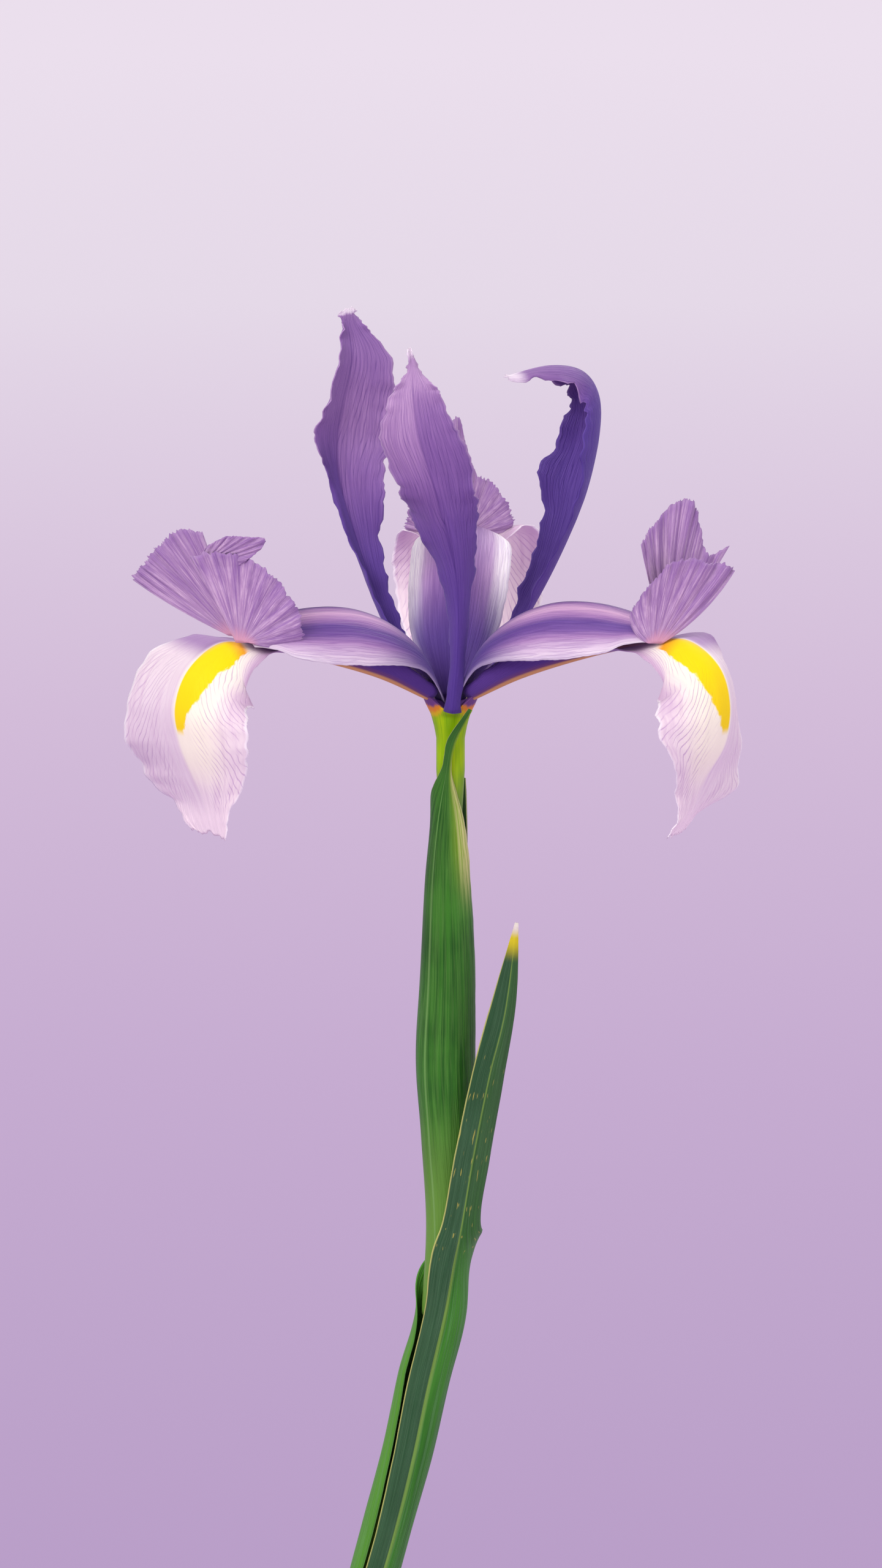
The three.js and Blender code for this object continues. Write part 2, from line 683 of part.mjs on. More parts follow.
export default iris;
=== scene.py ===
# A cut Dutch iris in a plain bud vase.
# The vase, stem, petals, bracts and leaf are built here as fine skins over the fixed model in the frame.
# Stations, rays and profiles are in millimetres; Blender's own lengths are in metres.
import math

import bmesh
import bpy
from mathutils import Matrix, Vector, noise


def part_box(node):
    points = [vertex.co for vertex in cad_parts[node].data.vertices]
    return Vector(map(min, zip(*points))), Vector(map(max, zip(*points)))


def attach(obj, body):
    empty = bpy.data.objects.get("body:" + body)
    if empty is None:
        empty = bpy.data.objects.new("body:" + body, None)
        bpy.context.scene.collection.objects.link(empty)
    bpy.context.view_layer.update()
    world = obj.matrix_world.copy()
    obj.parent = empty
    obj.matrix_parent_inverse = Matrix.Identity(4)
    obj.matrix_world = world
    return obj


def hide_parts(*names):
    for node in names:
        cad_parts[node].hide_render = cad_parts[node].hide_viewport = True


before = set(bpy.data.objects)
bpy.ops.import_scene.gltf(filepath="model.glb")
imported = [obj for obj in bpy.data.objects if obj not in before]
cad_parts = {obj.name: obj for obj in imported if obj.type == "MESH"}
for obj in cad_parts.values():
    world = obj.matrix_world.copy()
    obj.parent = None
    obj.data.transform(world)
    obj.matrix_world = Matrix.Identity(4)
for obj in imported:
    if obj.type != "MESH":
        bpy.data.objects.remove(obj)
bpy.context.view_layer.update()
print("frame loaded:", len(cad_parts), "nodes")

mm = 0.001


# Where the flower stands.

tubeLow, tubeHigh = (Vector(corner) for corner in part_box("ovary_tube"))
vaseLow, vaseHigh = (Vector(corner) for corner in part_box("vase"))
mouthRise = 1.6 * mm  # the tube's rim stands this far above the flower's base
flowerBase = Vector(((tubeLow.x + tubeHigh.x) / 2, (tubeLow.y + tubeHigh.y) / 2, tubeHigh.z - mouthRise))


def along(values, share):  # Catmull-Rom value at a share of a list of evenly spaced numbers
    last = len(values) - 1
    place = min(max(share, 0.0), 1.0) * last
    i = min(int(place), last - 1)
    t = place - i
    a, b = values[i], values[i + 1]
    before = values[i - 1] if i > 0 else 2 * a - b
    after = values[i + 2] if i < last - 1 else 2 * b - a
    slopeA, slopeB, rise = (b - before) / 2, (after - a) / 2, b - a
    return a + t * (slopeA + t * (3 * rise - 2 * slopeA - slopeB + t * (slopeA + slopeB - 2 * rise)))


def smooth(low, high, x):
    t = min(max((x - low) / (high - low), 0.0), 1.0)
    return t * t * (3 - 2 * t)


# Shader maths.


class Socket:  # one output of a material's nodes, so that shader maths reads as an expression
    def __init__(self, tree, out=None):
        self.tree = tree
        self.out = out

    def node(self, kind, settings=None, inputs=None, output=0):
        made = self.tree.nodes.new(kind)
        for name, value in (settings or {}).items():
            if name == "stops":
                self.setStops(made.color_ramp, value)
            else:
                setattr(made, name, value)
        for key, value in (inputs or {}).items():
            if isinstance(value, Socket):
                self.tree.links.new(value.out, made.inputs[key])
            else:
                made.inputs[key].default_value = value
        return Socket(self.tree, made.outputs[output])

    def setStops(self, ramp, stops):
        while len(ramp.elements) < len(stops):
            ramp.elements.new(0.5)
        for element, (place, colour) in zip(ramp.elements, stops):
            element.position = place
            element.color = colour

    def maths(self, operation, *values):
        return self.node("ShaderNodeMath", {"operation": operation}, dict(enumerate(values)))

    def __add__(self, other):
        return self.maths("ADD", self, other)

    __radd__ = __add__

    def __sub__(self, other):
        return self.maths("SUBTRACT", self, other)

    def __rsub__(self, other):
        return self.maths("SUBTRACT", other, self)

    def __mul__(self, other):
        return self.maths("MULTIPLY", self, other)

    __rmul__ = __mul__

    def __truediv__(self, other):
        return self.maths("DIVIDE", self, other)

    def __pow__(self, other):
        return self.maths("POWER", self, other)

    def __abs__(self):
        return self.maths("ABSOLUTE", self)

    def fract(self):
        return self.maths("FRACT", self)

    def step(self, low, high):  # 0 below low, 1 above high, smooth between
        limits = {"Value": self, "From Min": low, "From Max": high}
        return self.node("ShaderNodeMapRange", {"interpolation_type": "SMOOTHSTEP"}, limits)

    def band(self, low, high, soft):
        return self.step(low - soft, low + soft) * (1 - self.step(high - soft, high + soft))

    def ramp(self, *stops):
        return self.node("ShaderNodeValToRGB", {"stops": stops}, {"Fac": self})

    def blend(self, below, above, mode="MIX"):  # colours, with this socket as the share of the one above
        inputs = {0: self, 6: below, 7: above}
        return self.node("ShaderNodeMix", {"data_type": "RGBA", "blend_type": mode}, inputs, 2)

    def vector(self, x, y, z=0.0):
        return self.node("ShaderNodeCombineXYZ", None, {0: x, 1: y, 2: z})

    def grain(self, where, scale=1.0, detail=3.0, roughness=0.5, distortion=0.0):
        texture = {"Scale": scale, "Detail": detail, "Roughness": roughness, "Distortion": distortion}
        return self.node("ShaderNodeTexNoise", None, {"Vector": where, **texture})

    def attribute(self, name):
        return self.node("ShaderNodeAttribute", {"attribute_name": name}, None, "Fac")


def tint(red, green, blue):  # a display colour, 0 to 255 a channel, in the shader's linear light
    def linear(c):
        c = c / 255
        return c / 12.92 if c <= 0.04045 else ((c + 0.055) / 1.055) ** 2.4

    return (linear(red), linear(green), linear(blue), 1.0)


def newMaterial(name, roughness, glow=0.0, sheen=0.0, specular=0.15):
    material = bpy.data.materials.new(name)
    material.use_nodes = True
    shader = material.node_tree.nodes["Principled BSDF"]
    shader.inputs["Roughness"].default_value = roughness
    shader.inputs["Subsurface Weight"].default_value = glow
    shader.inputs["Subsurface Scale"].default_value = 0.0012
    shader.inputs["Subsurface Radius"].default_value = (1.0, 1.0, 1.0)
    shader.inputs["Sheen Weight"].default_value = sheen
    shader.inputs["Specular IOR Level"].default_value = specular
    return material, shader, Socket(material.node_tree)


def feed(shader, name, value):
    value.tree.links.new(value.out, shader.inputs[name])


def bumpOf(height, strength, distance):
    return height.node("ShaderNodeBump", None, {"Height": height, "Strength": strength, "Distance": distance})


def threads(sweep, wander, width):  # one thin line for each whole step of a share that sweeps over the petal
    return 1 - abs((sweep + wander).fract() - 0.5).step(0.0, width)


def veins(start, across, length, count, stretch, wander, width, seed):
    # dark threads that run from base to tip, merge and part: the folds of a noise stretched lengthwise
    where = start.vector(across * count, length * stretch, seed)
    field = start.grain(where, 1.0, 2.0, 0.45, wander)
    return 1 - abs(field - 0.5).step(0.0, width)


# Sheets: petals, bracts and leaves.

sheetLayers = ("across", "length", "under", "tone")


def sheetRow(sheet, share):
    stations = sheet["stations"]

    def at(k):
        return along([s[k] for s in stations], share)

    def place(u):
        return Vector([along([s[k] for s in stations], u) for k in range(3)])

    small = 1e-3
    tangent = (place(min(share + small, 1)) - place(max(share - small, 0))).normalized()
    side = (Vector((0, 1, 0)) - tangent * tangent.y).normalized()
    inner = tangent.cross(side)
    turn = math.radians(at(3))
    return {
        "place": place(share),
        "tangent": tangent,
        "across": side * math.cos(turn) + inner * math.sin(turn),
        "face": inner * math.cos(turn) - side * math.sin(turn),
        "crease": along(sheet.get("creases", [0.3, 0.3]), share),
        "halves": [(max(at(k), 0.2), math.radians(at(k + 1))) for k in (4, 6)],
        "slants": [along(slant, share) for slant in sheet.get("slants", ([0, 0], [0, 0]))],
    }


def rowPoint(row, v):
    half = 0 if v >= 0 else 1
    width, bend = row["halves"][half]
    first = bend * row["crease"]
    rate = 2 * bend * (1 - row["crease"])
    reach = abs(v)
    if abs(rate) < 1e-6:
        lateral, lift = reach * math.cos(first), reach * math.sin(first)
    else:
        last = first + rate * reach
        lateral = (math.sin(last) - math.sin(first)) / rate
        lift = (math.cos(first) - math.cos(last)) / rate
    sideways = row["across"] * (lateral if half == 0 else -lateral)
    lengthways = row["tangent"] * (row["slants"][half] * reach)
    return row["place"] + (sideways + row["face"] * lift + lengthways) * width


def gridOf(bm, acrossSteps, alongSteps):
    # a flat grid, 2 by 1: x is -1 to 1 across and y is 0 to 1 along
    made = bmesh.ops.create_grid(bm, x_segments=acrossSteps, y_segments=alongSteps, size=1.0)["verts"]
    halve = Matrix.Translation((0, 0.5, 0)) @ Matrix.Diagonal((1, 0.5, 1, 1))
    bmesh.ops.transform(bm, matrix=halve, verts=made)
    return made


def unique(items):  # each item once, in the order in which they come
    return list(dict.fromkeys(items))


def ripple(place, seed, depth):  # an uneven wave with a finer one on it
    coarse = noise.noise(Vector((place, seed, depth)))
    return coarse + 0.5 * noise.noise(Vector((place * 2.4, seed, depth + 4.5)))


def foldAt(edge, seed, v, drift):  # lengthwise folds of a sheet, which wander as they drift along it
    wander = 2 * noise.noise(Vector((v * 3, drift, seed)))
    return math.sin(v * edge["folds"] * math.pi + wander) * edge["foldDepth"]


def petalPoint(sheet, edge, row, u, v):
    shape = rowPoint(row, v)
    seed = edge["seed"] + (10 if v > 0 else 0)
    outwards = (shape - row["place"]).normalized() if abs(v) > 0.01 else Vector()
    shape = shape + outwards * (ripple(u * 34, seed, 0.3) * edge["nick"] * abs(v) ** 6)
    wave = ripple(u * edge["waves"], seed, 1.7 + abs(v) * 0.7) * edge["height"] * abs(v) ** edge["power"]
    fold = foldAt(edge, seed, v, u * 2)
    shape = shape + row["face"] * (wave * smooth(0, 0.2, u) + fold * smooth(0.3, 0.5, u))
    return shape + row["tangent"] * (ripple(v * 3, seed, 8.1) * edge["notch"] * smooth(0.9, 1, u))


def fanPoint(fan, edge, u, v):
    # rays spread from a short foot; their angles are right of upright, seen from the face
    turn = math.radians(fan["across"])
    across = Vector((math.cos(turn), math.sin(turn), 0))
    up = Vector((0, 0, 1))
    face = across.cross(up)
    first, last, reach, lift = (along([ray[k] for ray in fan["rays"]], (v + 1) / 2) for k in range(4))
    angle = math.radians(first + (last - first) * u)
    seed = edge["seed"]
    nicks = (0.4 * ripple(v * 8, seed, 0.3) + 0.7 * ripple(v * 34, seed, 3.3)) * edge["nick"] * u ** 6
    wave = ripple(v * edge["waves"], seed, 1.7 + u * 0.5) * edge["height"] * u ** edge["power"]
    fold = foldAt(edge, seed, v, u)
    foot = Vector(fan["pivot"]) + across * (fan["foot"] * v)
    ray = (across * math.sin(angle) + up * math.cos(angle)) * (reach * u + nicks)
    return foot + ray + face * (lift * u * u + wave + fold * u)


# An edge's waves lean to and fro over its length, and its nicks and notch change the outline. Folds cross the
# whole sheet. Heights are in millimetres, and power says how near the margin the waves stay.
plainEdge = {
    "waves": 0,
    "height": 0,
    "power": 3,
    "nick": 0,
    "notch": 0,
    "folds": 0,
    "foldDepth": 0,
    "seed": 1,
}


def shapeSheet(bm, sheet):
    steps = sheet["steps"]
    edge = {**plainEdge, **sheet.get("edge", {})}
    tones = sheet.get("tones", ([0, 0], [0, 0]))
    layers = [bm.verts.layers.float[name] for name in sheetLayers]
    verts = gridOf(bm, *steps)
    rows = {}
    for vert in verts:
        v, u = vert.co.x, vert.co.y
        near, far = (along(tone, u) for tone in tones)
        tone = far + (near - far) * smooth(-0.12, 0.12, v)
        for layer, value in zip(layers, (v, u, 0.0, tone)):
            vert[layer] = value
        if "rays" in sheet:
            vert.co = fanPoint(sheet, edge, u, v)
            continue
        key = round(u * steps[1])
        if key not in rows:
            rows[key] = sheetRow(sheet, u)
        vert.co = petalPoint(sheet, edge, rows[key], u, v)
    faces = unique(face for vert in verts for face in vert.link_faces)
    if "rays" not in sheet:
        bmesh.ops.reverse_faces(bm, faces=faces)
    thicken(bm, verts, faces, sheet.get("thickness", 0.35))


def thicken(bm, verts, faces, thickness):
    # a second skin under the first, joined to it round the rim
    acrossLayer, lengthLayer, underLayer = (bm.verts.layers.float[name] for name in sheetLayers[:3])
    edges = unique(edge for face in faces for edge in face.edges)
    rimEdges = [edge for edge in edges if edge.is_boundary]
    for face in faces:
        face.normal_update()
    for vert in verts:
        vert.normal_update()
    copy = bmesh.ops.duplicate(bm, geom=verts + faces + edges)
    twins = {old: copy["vert_map"][old] for old in verts}
    lowFaces = [face for face in copy["geom"] if isinstance(face, bmesh.types.BMFace)]
    for old, twin in twins.items():
        thin = 1 - 0.6 * max(smooth(0.86, 1, abs(old[acrossLayer])), smooth(0.95, 1, old[lengthLayer]))
        shift = old.normal * (thickness / 2 * thin)
        twin.co = old.co - shift
        old.co = old.co + shift
        twin[underLayer] = 1.0
    bmesh.ops.reverse_faces(bm, faces=lowFaces)
    for rim in rimEdges:
        face = rim.link_faces[0]
        loop = next(loop for loop in face.loops if loop.edge == rim)
        start, end = loop.vert, loop.link_loop_next.vert
        bm.faces.new((end, start, twins[start], twins[end]))


def newSkin():
    bm = bmesh.new()
    for name in sheetLayers:
        bm.verts.layers.float.new(name)
    return bm


def finishPiece(name, bm, material, node, matrix=None):
    if matrix is not None:
        bmesh.ops.transform(bm, matrix=matrix, verts=bm.verts)
    mesh = bpy.data.meshes.new(name)
    bm.to_mesh(mesh)
    bm.free()
    for polygon in mesh.polygons:
        polygon.use_smooth = True
    mesh.materials.append(material)
    piece = bpy.data.objects.new(name, mesh)
    bpy.context.scene.collection.objects.link(piece)
    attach(piece, "root")
    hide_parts(node)
    return piece


def flowerMatrix(azimuth):
    turn = Matrix.Rotation(math.radians(azimuth), 4, "Z")
    return Matrix.Translation(flowerBase) @ turn @ Matrix.Scale(mm, 4)


def buildSheets(node, sheets, azimuth, material):
    bm = newSkin()
    for sheet in sheets:
        shapeSheet(bm, sheet)
    return finishPiece(node + "_skin", bm, material, node, flowerMatrix(azimuth))


# Falls.

fallLook = {
    "far": tint(231, 213, 222),
    "near": tint(239, 222, 226),
    "shade": tint(206, 174, 202),
    "vein": tint(186, 146, 194),
    "cream": tint(252, 244, 222),
    "yellow": tint(250, 214, 2),
    "orange": tint(240, 160, 30),
    "tip": tint(243, 222, 230),
    "rim": tint(250, 242, 248),
    "shadePurple": tint(150, 110, 168),
    "haft": tint(85, 53, 134),
    "paintedLightHaftEnd": tint(190, 152, 190),
    "brown": tint(112, 62, 110),
    "keel": tint(214, 160, 92),
}


def fallMaterial():
    material, shader, start = newMaterial("fall petal", 0.6, 0.15, sheen=0.1)
    look = fallLook
    across, length, under, tone = (start.attribute(name) for name in sheetLayers)
    reach = abs(across)
    near = across * tone + reach * (1 - abs(tone))  # positive on the half that carries the signal
    side = near.step(-0.04, 0.04)
    wander = start.grain(start.vector(across * 3, length * 6, 2.0), 1.0, 2.0, 0.5) - 0.5
    strength = start.grain(start.vector(across * 6, length * 8, 5.0), 1.0, 2.0, 0.5).step(0.3, 0.62)
    streak = start.grain(start.vector(across * 16, length * 4, 2.0), 1.0, 4.0, 0.6)
    shade = (reach.step(0.5, 0.95) * (1 - length.step(0.45, 0.72))).blend(look["near"], look["shade"])
    colour = side.blend(look["far"], shade)
    colour = (streak.step(0.42, 0.7) * 0.45).blend(colour, look["shade"])
    colour = length.step(0.84, 0.97).blend(colour, look["tip"])
    cream = (1 - near.step(0.35, 0.85)) * near.step(-0.08, 0.02) * length.band(0.34, 0.8, 0.07) * (1 - under)
    colour = cream.blend(colour, look["cream"])
    # veins leave the midrib and sweep down to the margin
    sweep = (length - (reach ** 0.8) * 0.4) * 36
    lines = threads(sweep, wander * 2.4, 0.16) * strength * reach.step(0.12, 0.5)
    colour = (lines * (side * 0.15 + 0.55)).blend(colour, look["vein"])
    rim = reach.step(0.955, 0.99) * length.step(0.3, 0.4)
    colour = (rim * 0.7).blend(colour, look["rim"])
    # the signal lies on one side of the midrib and ends in a ragged point
    ragged = (start.grain(start.vector(across * 16, length * 40, 0.0), 1.0, 2.0, 0.6) - 0.5) * 0.12
    width = 0.4 - length.step(0.5, 0.68) * 0.28
    signal = (1 - (near + ragged - width).step(-0.02, 0.02)) * near.step(-0.01, 0.015)
    signal = signal * length.band(0.345, 0.665, 0.012) * (1 - under)
    gold = length.step(0.35, 0.4).blend(look["orange"], look["yellow"])
    colour = signal.blend(colour, gold)
    # painted shade: the far half beside the haft is tinted purple where it lies in shadow, partly the petal's
    # violet back; then the haft's violet outside with its golden keel
    back = (1 - near.step(-0.12, 0.08)) * (1 - length.step(0.42, 0.48))
    colour = (back * 0.9).blend(colour, look["shadePurple"])
    keel = (reach + (streak - 0.5) * 0.08).ramp(
        (0.0, look["keel"]),
        (0.19, look["keel"]),
        (0.28, look["brown"]),
        (0.45, look["haft"]),
        (1.0, look["haft"]),
    )
    # the haft's pale end is lightened with painted light against the shadow under the style arm's end
    haft = length.step(0.2, 0.33).blend(keel, look["paintedLightHaftEnd"])
    colour = (1 - (length + reach * 0.03).step(0.31, 0.36)).blend(colour, haft)
    feed(shader, "Base Color", colour)
    feed(shader, "Normal", bumpOf(streak * 0.5 - lines * 0.7, 0.3, 0.0004))
    return material


fallEdge = {"waves": 11, "height": 0.9, "nick": 0.4, "notch": 0.9, "folds": 9, "foldDepth": 0.04}
falls = {
    "fall_left": {
        "azimuth": 210,
        "tones": ([1, 1], [1, 1]),
        "slants": ([0, 0], [0, 0, 0, 0, 0, 0.05, 0.12, 0.2, 0.25, 0.28, 0.2]),
        "edge": {**fallEdge, "seed": 3},
        "stations": [
            (4.2, 0, 1.6, 0, 2.8, 58, 2.8, 58),
            (14, 0, 6.9, 0, 5.4, 60, 5.4, 60),
            (26, 0, 11.6, 0, 5, 48, 5, 48),
            (36, 0, 14.9, 0, 3.2, -16, 5, 0),
            (43.5, 0, 16.5, 0, 12, -54, 10, -5),
            (49.5, 0, 12.8, 0, 12.6, -40, 13.5, 0),
            (52, 0, 6.8, 0, 14.2, -32, 15, 5),
            (51, 0, 0.6, 0, 14, -28, 18.2, 5),
            (48.6, 0, -5.5, 0, 11, -24, 22, 0),
            (46.6, 0, -10.6, 0, 6.6, -12, 16, -5),
            (45.4, 0, -15.6, 0, 4.6, -5, 7.4, 0),
        ],
    },
    "fall_right": {
        "azimuth": 330,
        "tones": ([-1, -1], [-1, -1]),
        "slants": ([0, 0, 0, 0, 0, 0, 0.1, 0.2, 0.3, 0.2, 0], [0, 0]),
        "edge": {**fallEdge, "seed": 5},
        "stations": [
            (4.2, 0, 1.6, 0, 2.8, 58, 2.8, 58),
            (14, 0, 6.9, 0, 5.4, 60, 5.4, 60),
            (26, 0, 11.9, 0, 5, 48, 5, 48),
            (36.5, 0, 15.4, 0, 5, 0, 3.2, -16),
            (44.5, 0, 17.2, 0, 7.6, -4, 11.4, -54),
            (50.5, 0, 13.6, 0, 8.4, -26, 12.2, -40),
            (52.6, 0, 7.4, 0, 8.8, -26, 13.4, -32),
            (51.6, 0, 0.6, 0, 10.2, -8, 12.8, -28),
            (48.2, 0, -5.4, 0, 13.2, 8, 7.2, -20),
            (46, 0, -11, 0, 5, 8, 3.8, -10),
            (43.4, 0, -15.8, 0, 2.2, 0, 3.8, 0),
        ],
    },
    "fall_back": {
        "azimuth": 87,
        "edge": {**fallEdge, "seed": 8},
        "stations": [
            (4.8, 0, 2.8, 0, 2.2, 48, 2.2, 48),
            (14, 0, 7.2, 0, 4.6, 55, 4.6, 55),
            (26, 0, 12.6, 0, 4.8, 45, 4.8, 45),
            (36, 0, 17, 0, 7, 20, 7, 16),
            (43.5, 0, 19.6, 0, 11, -4, 11.5, 6),
            (50, 0, 17, 0, 12.5, -10, 13.5, -4),
            (53.2, 0, 11.4, 0, 13, -14, 14, -10),
            (53, 0, 5.2, 0, 12.5, -14, 13.5, -10),
            (50.5, 0, -1.4, 0, 10.5, -12, 11.5, -8),
            (47, 0, -5.8, 0, 6, -8, 6.5, -5),
            (43.4, 0, -8.6, 0, 3, 0, 3.4, 0),
        ],
    },
}
fallSkin = fallMaterial()
for node, sheet in falls.items():
    buildSheets(node, [{"steps": (56, 110), **sheet}], sheet["azimuth"], fallSkin)
print("falls done")


# Standards.

standardLook = {
    "pale": [
        (0.0, tint(86, 60, 146)),
        (0.2, tint(102, 72, 155)),
        (0.4, tint(114, 80, 153)),
        (0.6, tint(136, 98, 163)),
        (0.75, tint(150, 112, 171)),
        (0.9, tint(172, 134, 184)),
        (1.0, tint(192, 156, 198)),
    ],
    "vein": tint(192, 176, 216),
    "rim": tint(190, 156, 200),
    "tip": tint(238, 222, 238),
}


def standardMaterial():
    material, shader, start = newMaterial("standard petal", 0.55, 0.12, sheen=0.1)
    look = standardLook
    across, length, under, tone = (start.attribute(name) for name in sheetLayers)
    reach = abs(across)
    streak = start.grain(start.vector(across * 12, length * 4, 5.0), 1.0, 5.0, 0.65)
    wander = start.grain(start.vector(across * 4, length * 6, 2.0), 1.0, 2.0, 0.5) - 0.5
    colour = (tone + (streak - 0.5) * 0.22).ramp(*look["pale"])
    sweep = reach * 11 + (1 - length) * 9
    lines = threads(sweep, wander * 2, 0.2) * streak.step(0.35, 0.6)
    colour = (lines * 0.75).blend(colour, look["vein"], "MULTIPLY")
    fine = veins(start, across, length, 24, 4.0, 0.4, 0.1, 9.0)
    colour = (fine * 0.35).blend(colour, look["vein"], "MULTIPLY")
    midrib = (1 - reach.step(0.0, 0.05)) * (1 - length.step(0.8, 0.95))
    colour = (midrib * 0.6).blend(colour, look["vein"], "MULTIPLY")
    rim = reach.step(0.93, 1.0) * length.step(0.35, 0.55) * tone.step(0.25, 0.6)
    colour = (rim * 0.6).blend(colour, look["rim"])
    colour = length.step(0.95, 0.985).blend(colour, look["tip"])
    feed(shader, "Base Color", colour)
    feed(shader, "Normal", bumpOf(streak - lines * 0.5 - fine * 0.4, 0.4, 0.0004))
    return material


standardEdge = {"waves": 13, "height": 1.5, "nick": 0.7, "notch": 0.7}
standards = {
    "standard_front": {
        "azimuth": 270,
        "creases": [0.4, 0.4],
        "tones": (
            [0, 0.1, 0.2, 0.3, 0.4, 0.52, 0.62, 0.78, 0.95, 1, 1],
            [0, 0.1, 0.2, 0.3, 0.46, 0.6, 0.86, 0.98, 1, 1, 1],
        ),
        "edge": {**standardEdge, "seed": 21},
        "stations": [
            (4.9, 0.3, 0, 0, 1.5, 30, 1.4, 30),
            (5.8, 1.1, 9.5, 0, 2, 48, 1.8, 48),
            (7.4, 1.3, 17.5, 0, 3, 50, 2.8, 50),
            (9.6, 0.8, 25.5, 0, 4.3, 40, 4.1, 38),
            (12, -0.5, 32.6, 0, 5.6, 28, 6.4, 34),
            (13.5, -1.6, 36.8, 0, 6.5, 20, 6.9, 34),
            (15.5, -3, 42.5, 0, 7, 15, 6, 10),
            (17.5, -5, 50, 0, 6.2, 10, 7.1, 10),
            (18, -6, 56.2, 0, 4.7, 5, 4.4, 5),
            (17.8, -6.2, 59, 0, 3.6, 0, 2.6, 0),
            (17.5, -6.2, 61.6, 0, 1, 0, 0.8, 0),
            (17.3, -6.7, 65, 0, 0.25, 0, 0.25, 0),
        ],
    },
    "standard_left": {
        "azimuth": 150,
        "creases": [0.5, 0.5],
        "tones": (
            [0, 0.05, 0.12, 0.22, 0.32, 0.55, 0.74, 0.74, 0.7, 0.95],
            [0, 0.05, 0.15, 0.38, 0.66, 0.8, 0.84, 0.76, 0.72, 0.95],
        ),
        "edge": {**standardEdge, "seed": 24},
        "stations": [
            (4.9, 0, 2.6, 0, 1.1, 30, 1.1, 30),
            (10.8, 0, 9.8, -10, 2.2, 40, 2.2, 40),
            (15.2, 0, 18.8, -20, 2.6, 40, 3, 40),
            (18.9, 0, 27.8, -25, 2.8, 38, 5.2, 35),
            (21.6, 0, 36.2, -30, 3, 34, 8, 28),
            (22.1, 0, 43, -30, 5.4, 25, 10.4, 15),
            (21, 0, 49.5, -30, 4.8, 25, 9.4, 15),
            (19.2, 0, 57, -30, 3.4, 20, 7, 15),
            (19.8, 0, 62.8, -30, 1.4, 0, 2.8, 0),
            (20, 0, 65.6, -30, 1.2, 0, 1.4, 0),
        ],
    },
    "standard_right": {
        "azimuth": 30,
        "creases": [0.5, 0.5],
        "tones": (
            [0.16, 0.16, 0.14, 0.12, 0.14, 0.2, 0.3, 0.5, 0.7, 0.85],
            [0.16, 0.16, 0.12, 0.04, 0, 0.02, 0.14, 0.45, 0.65, 0.85],
        ),
        "edge": {**standardEdge, "seed": 27},
        "stations": [
            (4.9, 0, 2.6, 0, 1.1, 30, 1.1, 30),
            (12, 0, 10, 0, 2.2, 45, 2.2, 45),
            (17.8, 0, 18, 0, 3.4, 50, 3.8, 45),
            (22.5, 0, 26.5, 0, 5.4, 45, 7.4, 40),
            (26.2, 0, 35, 0, 7.8, 45, 10, 40),
            (28.5, 0, 43.5, 0, 5.8, 45, 8.5, 45),
            (28.5, 0, 50, 0, 5, 50, 7, 50),
            (25.3, 0, 54.4, 0, 4.6, 50, 5.5, 50),
            (19, 0, 56, 0, 3, 45, 3.4, 45),
            (10.7, 0, 55.2, 0, 0.5, 30, 0.5, 30),
        ],
    },
}
standardSkin = standardMaterial()
for node, sheet in standards.items():
    buildSheets(node, [{"steps": (40, 110), **sheet}], sheet["azimuth"], standardSkin)
print("standards done")


# Style arms and their crests.

styleLook = {
    # side arms, ridge to margin: a thin dark ridge line, a light lane just below it that is a painted
    # highlight, a dark violet band, then paler lilac to the white margin
    "side": [
        (0.0, tint(86, 52, 120)),
        (0.05, tint(150, 108, 165)),
        (0.17, tint(206, 162, 200)),
        (0.3, tint(168, 124, 180)),
        (0.42, tint(106, 74, 150)),
        (0.56, tint(122, 86, 158)),
        (0.68, tint(174, 134, 186)),
        (0.82, tint(212, 186, 214)),
        (0.92, tint(228, 210, 226)),
        (1.0, tint(240, 230, 238)),
    ],
    # the back arm's paler copy of the lanes is painted light, where light shows through the thin arm
    "back": [
        (0.0, tint(128, 90, 156)),
        (0.4, tint(152, 112, 170)),
        (0.62, tint(184, 148, 194)),
        (0.78, tint(240, 226, 238)),
        (1.0, tint(252, 244, 248)),
    ],
    "base": tint(84, 58, 138),
    "line": tint(206, 190, 222),
    "crest": tint(176, 140, 184),
    "crestLight": tint(206, 174, 206),
    "crestDark": tint(142, 102, 164),
    "crestBase": tint(228, 166, 186),
}


